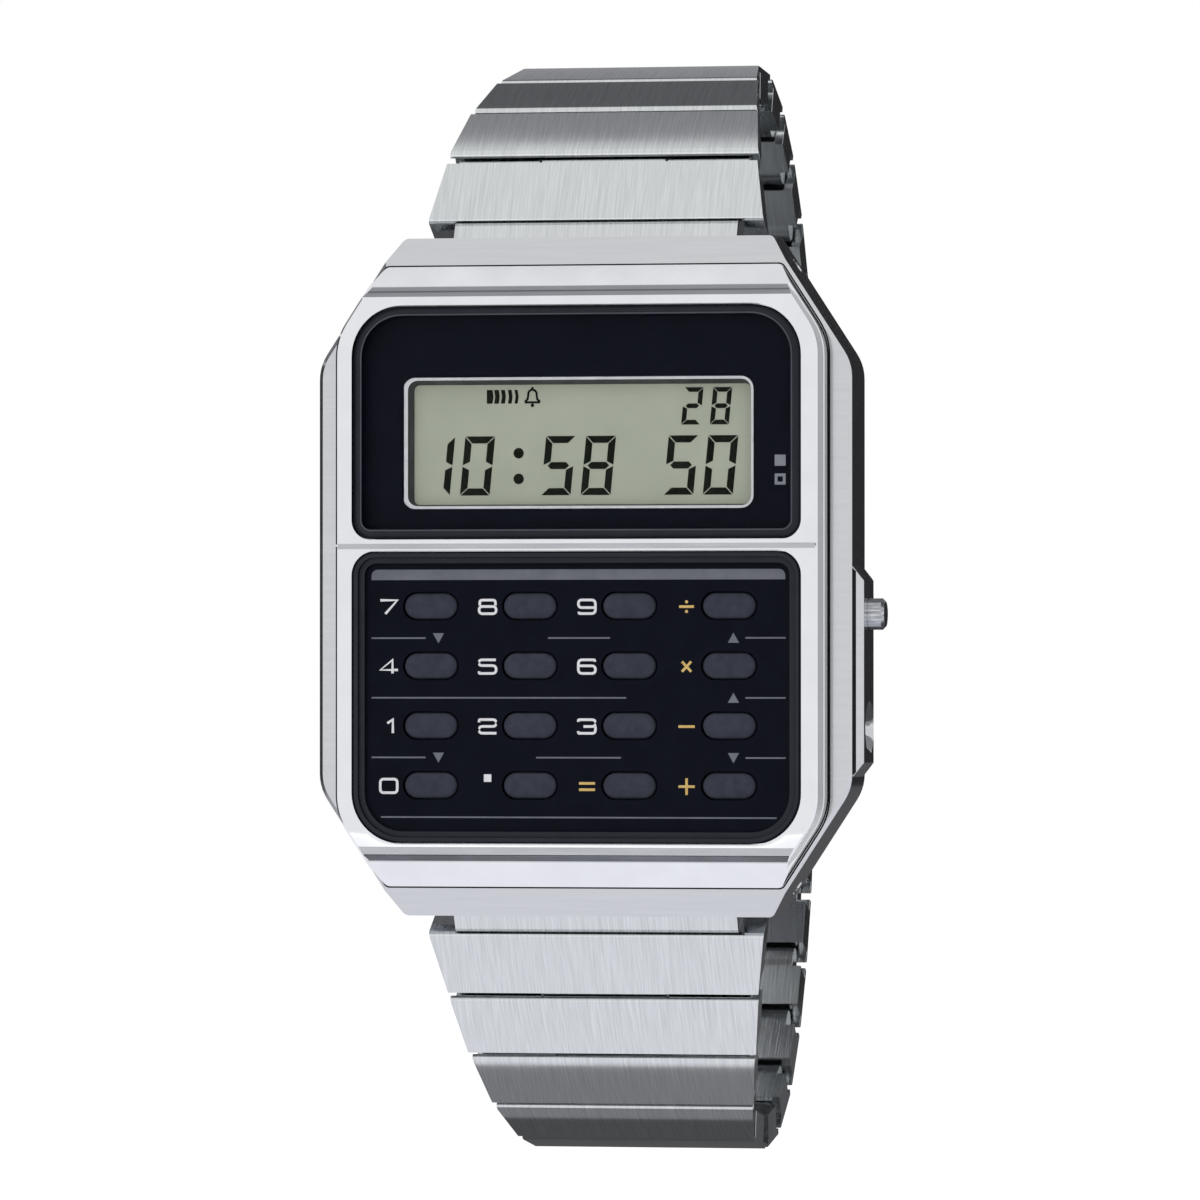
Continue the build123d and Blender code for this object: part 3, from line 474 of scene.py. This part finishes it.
def ribbon(points, width, closed=False):
    """Outlines of a stroke along points: one quad to a run, mitred where runs meet."""
    count = len(points)
    sides = []
    for index, (x, z) in enumerate(points):
        before = points[index - 1] if index or closed else None
        after = points[(index + 1) % count] if index + 1 < count or closed else None
        normals = []
        for start, end in ((before, (x, z)), ((x, z), after)):
            if start and end:
                length = math.dist(start, end)
                normals.append(((start[1] - end[1]) / length, (end[0] - start[0]) / length))
        mean = [sum(part) / len(normals) for part in zip(*normals)]
        reach = width / 2 / max(SHARPEST, mean[0] ** 2 + mean[1] ** 2)
        sides.append(((x + mean[0] * reach, z + mean[1] * reach),
                      (x - mean[0] * reach, z - mean[1] * reach)))
    quads = []
    for index in range(count if closed else count - 1):
        (left, right), (left_next, right_next) = sides[index], sides[(index + 1) % count]
        quads.append([right, right_next, left_next, left])
    return quads


def soft_line(points, radius):
    """Round the inner corners of a stroke's line."""
    line = [points[0]]
    for before, corner, after in zip(points, points[1:], points[2:]):
        line += bend(before, corner, after, radius)
    return line + [points[-1]]


# Lens with its bevelled rim, and a painted highlight along the rim's inner edge
lens_left, lens_right, lens_bottom, lens_top, lens_front, lens_rear = extent("lens")
lens_low_radius, lens_high_radius = 1.2, 3.2
lens_rim, lens_bevel, lens_line = 0.55, 0.30, 0.09


def lens_outline(inset):
    return rounded(lens_left + inset, lens_right - inset, lens_bottom + inset,
                   lens_top - inset, lens_low_radius - inset, lens_high_radius - inset)


lens_piece = loft("lens_glass", [(lens_outline(lens_rim), lens_front),
                                 (lens_outline(0), lens_front + lens_bevel),
                                 (lens_outline(0), lens_rear)],
                  [lens_clear, black_rim], HEAD, face_slots=[1, 1, 0])
smooth(lens_piece)
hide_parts("lens")
printed("lens_rim_highlight", ribbon(lens_outline(lens_rim), lens_line, closed=True), lens_front,
        painted_rim_highlight)

# Black mask under the lens, and the silver display frame with its deep wall in painted shade,
# wider on the left and at the top where the shadow falls
frame_left, frame_right, frame_bottom, frame_top, frame_front, frame_rear = extent("display_frame")
more_left, more_top = 0.15, 0.07      # the frame's reach beyond the CAD's
frame_left, frame_top = frame_left - more_left, frame_top + more_top
frame_edge, frame_radius = 0.05, 0.85
ring_left, ring_top, ring_plain = 0.38, 0.23, 0.22
wall_deep, wall_plain, wall_end, opening_radius = 0.28, 0.11, 0.02, 0.35
mask_gap, mask_lap = 0.1, 0.05
mask_front, mask_rear = lens_rear - 0.10, lens_rear - 0.04


def frame_outline(inset):
    return rounded(frame_left + inset, frame_right - inset, frame_bottom + inset,
                   frame_top - inset, frame_radius - inset, frame_radius - inset, steps=6)


def inner_outline(left_inset, top_inset, plain_inset, radius):
    """The display frame's inner edge, wider on the left and at the top, where the wall's painted
    shadow falls.
    """
    return rounded(frame_left + left_inset, frame_right - plain_inset, frame_bottom + plain_inset,
                   frame_top - top_inset, radius, radius, steps=6)


display_ring = inner_outline(ring_left, ring_top, ring_plain, frame_radius - ring_plain)
display_opening = inner_outline(ring_left + wall_deep, ring_top + wall_deep,
                                ring_plain + wall_plain, opening_radius)
plate("lens_mask", [([lens_outline(mask_gap), frame_outline(mask_lap)], mask_front, mask_rear)],
      black_face, HEAD)

trim = loft("display_trim", [(frame_outline(0), frame_rear),
                             (frame_outline(0), frame_front + frame_edge),
                             (frame_outline(frame_edge), frame_front),
                             (display_ring, frame_front),
                             (display_opening, frame_rear - wall_end)],
            [silver, display_shade], HEAD, closed=True,
            face_slots=[0, 0, 0, 1, 1])
smooth(trim)
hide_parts("display_frame")

# Display: leaning seven-segment digits, a colon, battery bars and a bell
lcd_depth = extent("lcd_panel")[4]
lean = math.tan(math.radians(5.5))
segment_gap = 0.09      # free at a segment's ends, as a share of its width
SEGMENTS = {"0": "abcdef", "1": "bc", "2": "abdeg", "5": "acdfg", "8": "abcdefg"}


def lcd_digit(digit, x, z, width, height, bar):
    """Outlines of a seven-segment digit whose lower left corner is at x, z."""
    gap, half, middle = bar * segment_gap, bar / 2, height / 2
    flat = [(gap, 0), (width - gap, 0), (width - bar - gap, bar), (bar + gap, bar)]
    upright = [(0, gap), (bar, bar + gap), (bar, middle - half - gap), (0, middle - gap)]
    centre = [(half + gap, middle), (bar + gap, middle - half), (width - bar - gap, middle - half),
              (width - half - gap, middle), (width - bar - gap, middle + half),
              (bar + gap, middle + half)]
    shapes = {"a": (flat, 1, -1), "b": (upright, -1, -1), "c": (upright, -1, 1),
              "d": (flat, 1, 1), "e": (upright, 1, 1), "f": (upright, 1, -1), "g": (centre, 1, 1)}
    outlines = []
    for key in SEGMENTS[digit]:
        shape, side, way = shapes[key]
        outline = []
        for px, pz in shape:
            px = px if side > 0 else width - px
            pz = pz if way > 0 else height - pz
            outline.append((x + px + pz * lean, z + pz))
        outlines.append(outline)
    return outlines


# Each row's digits, their left edges, then their foot, width, height and bar
time_row = ("105850", (-10.42, -7.83, -2.60, -0.02, 5.30, 7.84), 5.13, 1.93, 3.75, 0.45)
day_row = ("28", (6.45, 8.29), 9.56, 1.22, 2.36, 0.30)
ink = []
for digits, places, *size in (time_row, day_row):
    for digit, x in zip(digits, places):
        ink += lcd_digit(digit, x, *size)
colon_x, colon_radius = -4.02, 0.34
ink += [dot(colon_x, z, colon_radius, sides=16) for z in (6.17, 7.80)]

# Battery bars, pointed to the right and notched on the left, apart from the first
battery_low, battery_high, battery_bulge = 10.95, 11.82, 0.07
battery_middle = (battery_low + battery_high) / 2
battery_bars = ((-6.08, -5.64), (-5.61, -5.24), (-5.17, -4.84), (-4.72, -4.41), (-4.29, -4.02))
for near, far in battery_bars:
    hollow = near if near == battery_bars[0][0] else near + battery_bulge
    ink.append([(near, battery_low), (far - battery_bulge, battery_low), (far, battery_middle),
                (far - battery_bulge, battery_high), (near, battery_high),
                (hollow, battery_middle)])

# Bell: its sides from the base up, dome, base line, clapper and knob
bell_x, bell_base, bell_half, bell_stroke = -3.13, 11.02, 0.50, 0.14
bell_side = ((0.50, 0.02), (0.31, 0.20), (0.27, 0.50))
dome_height, dome_radius = 0.53, 0.27
clapper_drop, clapper_radius = 0.19, 0.12
knob_height, knob_radius = 0.90, 0.09
ink += ribbon([(bell_x - x, bell_base + z) for x, z in bell_side]
              + arc(bell_x, bell_base + dome_height, dome_radius, 170, 10, 8)
              + [(bell_x + x, bell_base + z) for x, z in reversed(bell_side)], bell_stroke)
ink += ribbon([(bell_x - bell_half, bell_base), (bell_x + bell_half, bell_base)], bell_stroke)
ink.append(dot(bell_x, bell_base - clapper_drop, clapper_radius, sides=8))
ink.append(dot(bell_x, bell_base + knob_height, knob_radius, sides=8))
printed("display_digits", ink, lcd_depth, lcd_ink)

# Keypad plate: stepped rim, black face, sixteen round-ended keyholes
pad_left, pad_right, pad_bottom, pad_top, pad_front, pad_rear = extent("keypad_plate")
pad_low_radius, pad_high_radius = 3.2, 1.5
pad_rim, pad_step, pad_recess = 0.75, 0.30, 0.65
key_length, key_height, key_gap, key_steps = 3.42, 1.64, 0.1, 12


def pad_outline(inset):
    return rounded(pad_left + inset, pad_right - inset, pad_bottom + inset, pad_top - inset,
                   pad_low_radius - inset, pad_high_radius - inset)


def pill(place, grow):
    """Outline of a round-ended key, grown on all sides."""
    x, z = place
    radius = key_height / 2 + grow
    half = (key_length - key_height) / 2
    return (arc(x + half, z, radius, -90, 90, key_steps)
            + arc(x - half, z, radius, 90, 270, key_steps))


KEYS = (("7", "8", "9", "divide"), ("4", "5", "6", "multiply"),
        ("1", "2", "3", "minus"), ("0", "point", "equals", "plus"))
key_places = {}
for name in [f"key_{label}" for row in KEYS for label in row]:
    low_x, high_x, low_z, high_z, key_front, key_rear = extent(name)
    key_places[name] = ((low_x + high_x) / 2, (low_z + high_z) / 2)

holes = [pill(place, key_gap) for place in key_places.values()]
pad_piece = plate("keypad_face", [([pad_outline(0.0)] + holes, pad_recess, pad_rear),
                                  ([pad_outline(0.0), pad_outline(pad_rim)],
                                   pad_step, pad_recess),
                                  ([pad_outline(0.0), pad_outline(pad_rim / 2)],
                                   pad_front, pad_step)],
                  black_face, HEAD)
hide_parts("keypad_plate")

# Lighter skin over the plate's two steps, from a margin inside its outer edge
skin_margin, skin_short, skin_lap = 0.10, 0.02, 0.01
skin_lift, skin_sunk = 0.012, 0.02
rim = loft("keypad_rim", [(pad_outline(skin_margin), pad_front - PRINT),
                          (pad_outline(pad_rim / 2 - skin_short), pad_front - PRINT),
                          (pad_outline(pad_rim / 2 + skin_lap), pad_step - skin_lift),
                          (pad_outline(pad_rim - skin_short), pad_step - skin_lift),
                          (pad_outline(pad_rim + skin_lap), pad_recess - skin_lift),
                          (pad_outline(pad_rim + skin_lap), pad_recess + skin_sunk),
                          (pad_outline(skin_margin), pad_recess + skin_sunk)],
           black_rim, HEAD, closed=True)
smooth(rim)

# Keys: crowned heads with a soft edge, by inset and depth, and the foot under the plate
CROWN = ((0.70, 0), (0.45, 0.018), (0.22, 0.06), (0.09, 0.13), (0.02, 0.23), (0, 0.38))
foot_margin, foot_thickness = 0.35, 0.4
foot_front = key_rear - foot_thickness      # all keys have one front and one rear depth
for name, place in key_places.items():
    rings = [(pill(place, -inset), key_front + depth) for inset, depth in CROWN]
    rings += [(pill(place, 0), foot_front),
              (pill(place, foot_margin), foot_front),
              (pill(place, foot_margin), key_rear)]
    key = loft(f"{name}_cap", rings, key_rubber, name)
    smooth(key)
    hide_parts(name)

# Key labels: wide plain digits and signs, to the left of each key
GLYPHS = {
    "0": [("loop", [(0, 0), (1, 0), (1, 1), (0, 1)])],
    "1": [("line", [(0.42, 0.72), (0.74, 1.0), (0.74, 0)])],
    "2": [("line", [(0, 0.80), (0, 1), (1, 1), (1, 0.50), (0, 0.50), (0, 0), (1.02, 0)])],
    "3": [("line", [(0, 0.84), (0, 1), (1, 1), (1, 0.5), (0.3, 0.5)]),
          ("line", [(0.9, 0.5), (1, 0.5), (1, 0), (0, 0), (0, 0.16)])],
    "4": [("line", [(0.72, 0), (0.72, 1), (0, 0.26), (1.04, 0.26)])],
    "5": [("line", [(0.98, 1), (0, 1), (0, 0.58), (1, 0.58), (1, 0), (0, 0), (0, 0.16)])],
    "6": [("line", [(0.96, 0.86), (0.96, 1), (0, 1), (0, 0), (1, 0), (1, 0.56), (0.04, 0.56)])],
    "7": [("line", [(0, 1), (1, 1), (0.30, 0)])],
    "8": [("loop", [(0, 0), (1, 0), (1, 0.53), (0, 0.53)]),
          ("line", [(0.04, 0.60), (0.04, 1), (0.96, 1), (0.96, 0.60)])],
    "9": [("line", [(0.04, 0.14), (0.04, 0), (1, 0), (1, 1), (0, 1), (0, 0.44), (0.96, 0.44)])],
    "divide": [("line", [(0.05, 0.5), (0.95, 0.5)]), ("dot", [(0.5, 0.82)]),
               ("dot", [(0.5, 0.18)])],
    "multiply": [("line", [(0.12, 0.1), (0.88, 0.9)]), ("line", [(0.12, 0.9), (0.88, 0.1)])],
    "minus": [("line", [(0, 0.5), (1, 0.5)])],
    "equals": [("line", [(0.02, 0.68), (1, 0.68)]), ("line", [(0.02, 0.3), (1, 0.3)])],
    "plus": [("line", [(0, 0.5), (1, 0.5)]), ("line", [(0.5, 0), (0.5, 0.44)]),
             ("line", [(0.5, 0.56), (0.5, 1)])],
}
label_offset, label_drop = 2.72, 0.05
digit_size, sign_size = (1.10, 0.86), (1.05, 1.05)
OTHER_SIZES = {"multiply": (0.78, 0.80), "divide": (1.05, 0.95)}
SHARP_DIGITS = ("1", "4", "7")
stroke, dot_radius = 0.165, 0.1023
loop_radius, turn_radius = 0.2, 0.26
point_half, point_rise = 0.24, 0.46


def glyph(name, x, z, width, height):
    """Outlines of a label centred on x, z."""
    outlines = []
    for kind, points in GLYPHS[name]:
        placed = [(x + (px - 0.5) * width, z + (pz - 0.5) * height) for px, pz in points]
        if kind == "dot":
            outlines.append(dot(*placed[0], dot_radius, sides=12))
        elif kind == "loop":
            (x1, z1), (x2, z2) = placed[0], placed[2]
            loop = rounded(x1, x2, z1, z2, loop_radius, loop_radius, steps=4)
            outlines += ribbon(loop, stroke, closed=True)
        elif name in SHARP_DIGITS:
            outlines += ribbon(placed, stroke)
        else:
            outlines += ribbon(soft_line(placed, turn_radius), stroke)
    return outlines


white_labels, gold_labels = [], []
for name in [label for row in KEYS for label in row if label != "point"]:
    x, z = key_places[f"key_{name}"]
    centre = (x - label_offset, z - label_drop)
    if name.isdigit():
        white_labels += glyph(name, *centre, *digit_size)
    else:
        gold_labels += glyph(name, *centre, *OTHER_SIZES.get(name, sign_size))
x, z = key_places["key_point"]
white_labels.append(square(x - label_offset, z + point_rise, point_half))
printed("key_numbers", white_labels, pad_recess, print_white)
printed("key_signs", gold_labels, pad_recess, print_gold)

# Thin printed lines under the rows with their arrow marks, and the bar above the first row
line_width, line_more_drop = 0.10, 0.13
arrow_half, arrow_foot, arrow_tip = 0.36, 0.31, 0.33
left_stub, right_stub = (-13.29, -9.78), (10.80, 13.37)
left_arrow, right_arrow, up, down = -8.95, 10.03, 1, -1
# Under each row: its line's spans, then the places and ways of its arrows
LINES = (((left_stub, (-1.87, 2.12), right_stub), ((left_arrow, down), (right_arrow, up))),
         (((-13.29, 3.15), right_stub), ((right_arrow, up),)),
         ((left_stub, (-2.64, 2.82), right_stub), ((left_arrow, down), (right_arrow, down))),
         (((-12.68, 12.79),), ()))
rows = [key_places[f"key_{row[0]}"][1] for row in KEYS]
line_drop = (rows[0] - rows[1]) / 2 + line_more_drop
marks = []
for row_z, (spans, arrows) in zip(rows, LINES):
    z = row_z - line_drop
    for start, end in spans:
        marks += ribbon([(start, z), (end, z)], line_width)
    for x, way in arrows:
        marks.append([(x - arrow_half * way, z - arrow_foot * way),
                      (x + arrow_half * way, z - arrow_foot * way), (x, z + arrow_tip * way)])
bar_left, bar_right, bar_foot = -13.29, 13.34, -0.24
bar_turn, bar_radius = 0.02, 0.40
marks.append([(bar_left, bar_foot), (bar_right, bar_foot)]
             + arc(bar_right - bar_radius, bar_turn, bar_radius, 0, 90, 6)
             + arc(bar_left + bar_radius, bar_turn, bar_radius, 90, 180, 6))
printed("keypad_lines", marks, pad_recess, print_grey)

# Bezel: painted shade of the shallow groove on the strip between its windows, seam round its foot,
# painted shade on the creases of its lower end
bezel_left, bezel_right, _, bezel_top = extent("bezel")[:4]
strip_low, strip_high, strip_margin = 1.72, 2.06, 0.40
strip = rectangle(bezel_left + strip_margin, bezel_right - strip_margin, strip_low, strip_high)
printed("bezel_groove_shade", [strip], 0.0, painted_shade_steel)
bezel_end_width, corner_slant, flange_depth = 25.5, 33, 2.8
shoulder_reach, end_reach, seam_width = 1.2, 0.25, 0.10


def octagon(grow):
    """The bezel's eight-sided outline with soft corners, grown on all sides."""
    half_width, half_length = bezel_right + grow, bezel_top + grow
    half_end = bezel_end_width / 2 + grow
    shoulder = half_length - (half_width - half_end) / math.tan(math.radians(corner_slant))
    corners = [(half_width, -shoulder, shoulder_reach), (half_width, shoulder, shoulder_reach),
               (half_end, half_length, end_reach), (-half_end, half_length, end_reach)]
    corners += [(-x, -z, reach) for x, z, reach in corners]
    outline = []
    for index, (x, z, reach) in enumerate(corners):
        before, after = corners[index - 1][:2], corners[(index + 1) % len(corners)][:2]
        outline += bend(before, (x, z), after, reach, steps=6)
    return outline


printed("bezel_seam", ribbon(octagon(seam_width / 2), seam_width, closed=True),
        flange_depth, seam_and_gap_shade)
# A mid-grey strip on the flat front above the lower crease: painted shade
edge_top, edge_foot, edge_top_half, edge_foot_half = -17.14, -17.62, 14.0, 13.72
printed("crease_edge", [trapezium(edge_foot_half, edge_top_half, edge_foot, edge_top)], 0.0,
        painted_shade_steel)
# A dark quad on the lower crease's slope: painted shade
slope_top, slope_fall, slope_lift = -17.65, 2, 0.015      # the fall is depth to the mm
crease_top, crease_foot, crease_top_half, crease_foot_half = -17.66, -18.03, 13.70, 13.45
crease = [to_world((x, z), (slope_top - z) * slope_fall - slope_lift)
          for x, z in trapezium(crease_foot_half, crease_top_half, crease_foot, crease_top)]
new_piece("bezel_crease_shade", crease, [(0, 1, 2, 3)], painted_crease_shade, HEAD)

# Painted shade in the gap between the case's side and its button guard
case_side, guard_top, guard_bottom, guard_front, guard_gap_shade = 17.2, 0.5, -12.6, 3.3, 0.21
gap = [(case_side, guard_bottom), (case_side + guard_gap_shade, guard_bottom + guard_gap_shade),
       (case_side + guard_gap_shade, guard_top - guard_gap_shade), (case_side, guard_top)]
printed("guard_gap_shade", [gap], guard_front, seam_and_gap_shade)

# Two small square marks beside the display, one full and one open
mark_x, mark_half, mark_stroke = 12.94, 0.35, 0.18
full_z, open_z = 7.26, 6.08
square_marks = [square(mark_x, full_z, mark_half)]
square_marks += ribbon(square(mark_x, open_z, mark_half - mark_stroke / 2), mark_stroke,
                       closed=True)
printed("side_marks", square_marks, mask_front, print_light)

# Camera
camera_turn, camera_rise, camera_distance = math.radians(11.0), math.radians(-0.5), 0.56
pixels_per_mm, image_width, sensor = 15.86, 1200, 36.0
aim_x, aim_z = 1.6, -1.53
aim = Vector((aim_x, at_depth(0), aim_z)) * MM
toward = Vector((math.sin(camera_turn) * math.cos(camera_rise),
                 -math.cos(camera_turn) * math.cos(camera_rise), math.sin(camera_rise)))
camera_data = bpy.data.cameras.new("camera")
camera_data.sensor_width = sensor
camera_data.lens = sensor * pixels_per_mm * camera_distance / MM / image_width
camera_data.clip_start, camera_data.clip_end = 0.05, 20
camera = bpy.data.objects.new("camera", camera_data)
camera.location = aim + toward * camera_distance
camera.rotation_mode = "QUATERNION"
camera.rotation_quaternion = (-toward).to_track_quat("-Z", "Y")
scene.collection.objects.link(camera)
scene.camera = camera


# Studio, in metres: pale floor, white surround, soft lamps and cards that only gloss sees
def card(name, corners, material):
    """A flat four-sided piece of the stage."""
    mesh = bpy.data.meshes.new(name)
    mesh.from_pydata([Vector(corner) for corner in corners], [], [(0, 1, 2, 3)])
    mesh.materials.append(material)
    piece = bpy.data.objects.new(name, mesh)
    scene.collection.objects.link(piece)
    return piece


def flat_corners(left, right, front, rear, height):
    """Corners of a level card."""
    return [(left, front, height), (right, front, height), (right, rear, height),
            (left, rear, height)]


def background_rays(tree):
    """1 for camera, glossy and transmission rays, 0 for the rest."""
    path = tree.nodes.new("ShaderNodeLightPath")
    value = path.outputs["Is Camera Ray"]
    for name in ("Is Glossy Ray", "Is Transmission Ray"):
        value = combine(tree, "MAXIMUM", value, path.outputs[name])
    return value


def glow(tree, others, seen):
    """A strength for background rays, and another for the rest."""
    return map_range(tree, background_rays(tree), (0.0, 1.0), (others, seen))


floor_pale, floor_glow, floor_half = 0.86, 0.50, 3
floor_drop = 0.066      # below the opened bracelet in every pose
floor_z = cad_low.z - floor_drop
floor_material, floor_tree, floor_shader = new_material(
    "floor_white", (floor_pale,) * 3, metallic=0.0, rough=0.9, specular=0.0)
floor_shader.inputs["Emission Color"].default_value = (1, 1, 1, 1)
floor_tree.links.new(glow(floor_tree, 0.0, floor_glow), floor_shader.inputs["Emission Strength"])
card("floor", flat_corners(-floor_half, floor_half, -floor_half, floor_half, floor_z),
     floor_material)

world = bpy.data.worlds.new("studio")
scene.world = world
world.use_nodes = True
world_tree, world_light = world.node_tree, 0.62
background = world_tree.nodes["Background"]
background.inputs["Color"].default_value = (1, 1, 1, 1)
world_tree.links.new(glow(world_tree, world_light, 1.0), background.inputs["Strength"])

COOL = 1.05      # a card's blue, beside its red and green


def gloss_card(name, corners, level):
    """A card of even grey that shows only in reflections."""
    material = bpy.data.materials.new(name)
    material.use_nodes = True
    shader = material.node_tree.nodes["Principled BSDF"]
    shader.inputs["Base Color"].default_value = (0, 0, 0, 1)
    shader.inputs["Specular IOR Level"].default_value = 0
    shader.inputs["Emission Color"].default_value = (level, level, level * COOL, 1)
    shader.inputs["Emission Strength"].default_value = 1.0
    piece = card(name, corners, material)
    piece.visible_camera = False
    piece.visible_diffuse = False
    piece.visible_shadow = False
    piece.visible_transmission = False


# Level cards above the watch and just below it, by their front, rear and level of grey
above_half, above_z = 0.4, 0.15
for name, front, rear, level in (("card_above_front", 0.018, 0.055, 0.34),
                                 ("card_above_middle", 0.055, 0.150, 0.14),
                                 ("card_above_rear", 0.150, 0.330, 0.33)):
    gloss_card(name, flat_corners(-above_half, above_half, front, rear, above_z), level)
below_half, below_z = 0.2, cad_low.z - 0.0002
for name, front, rear, level in (("card_below_near", -0.060, 0.0045, 1.02),
                                 ("card_below_front", 0.0045, 0.0110, 0.28),
                                 ("card_below_rear", 0.0110, 0.250, 0.10)):
    gloss_card(name, flat_corners(-below_half, below_half, front, rear, below_z), level)

# Upright cards behind the watch and to its left
behind_y, behind_left, behind_right = 0.35, -0.05, 0.35
for name, low, high, level in (("card_behind", -0.045, 0.14, 0.028),
                               ("card_behind_low", -0.13, -0.045, 0.10)):
    gloss_card(name, [(behind_left, behind_y, low), (behind_right, behind_y, low),
                      (behind_right, behind_y, high), (behind_left, behind_y, high)], level)
side_x, side_front, side_rear, side_half, side_level = -0.35, 0.02, 0.20, 0.12, 0.05
gloss_card("card_left", [(side_x, side_front, -side_half), (side_x, side_rear, -side_half),
                         (side_x, side_rear, side_half), (side_x, side_front, side_half)],
           side_level)


def soft_lamp(name, place, size, radiance):
    """A lamp that looks at the watch and shows in no reflection."""
    data = bpy.data.lights.new(name, "AREA")
    data.shape = "RECTANGLE"
    data.size, data.size_y = size
    data.energy = radiance * math.pi * size[0] * size[1]
    lamp = bpy.data.objects.new(name, data)
    lamp.location = place
    lamp.rotation_mode = "QUATERNION"
    lamp.rotation_quaternion = (-Vector(place)).to_track_quat("-Z", "Y")
    lamp.visible_camera = False
    lamp.visible_glossy = False
    scene.collection.objects.link(lamp)


soft_lamp("front_lamp", (-0.20, -0.90, 0.03), (0.75, 0.75), 1.18)
soft_lamp("top_lamp", (-0.25, -0.35, 0.70), (0.7, 0.5), 1.05)
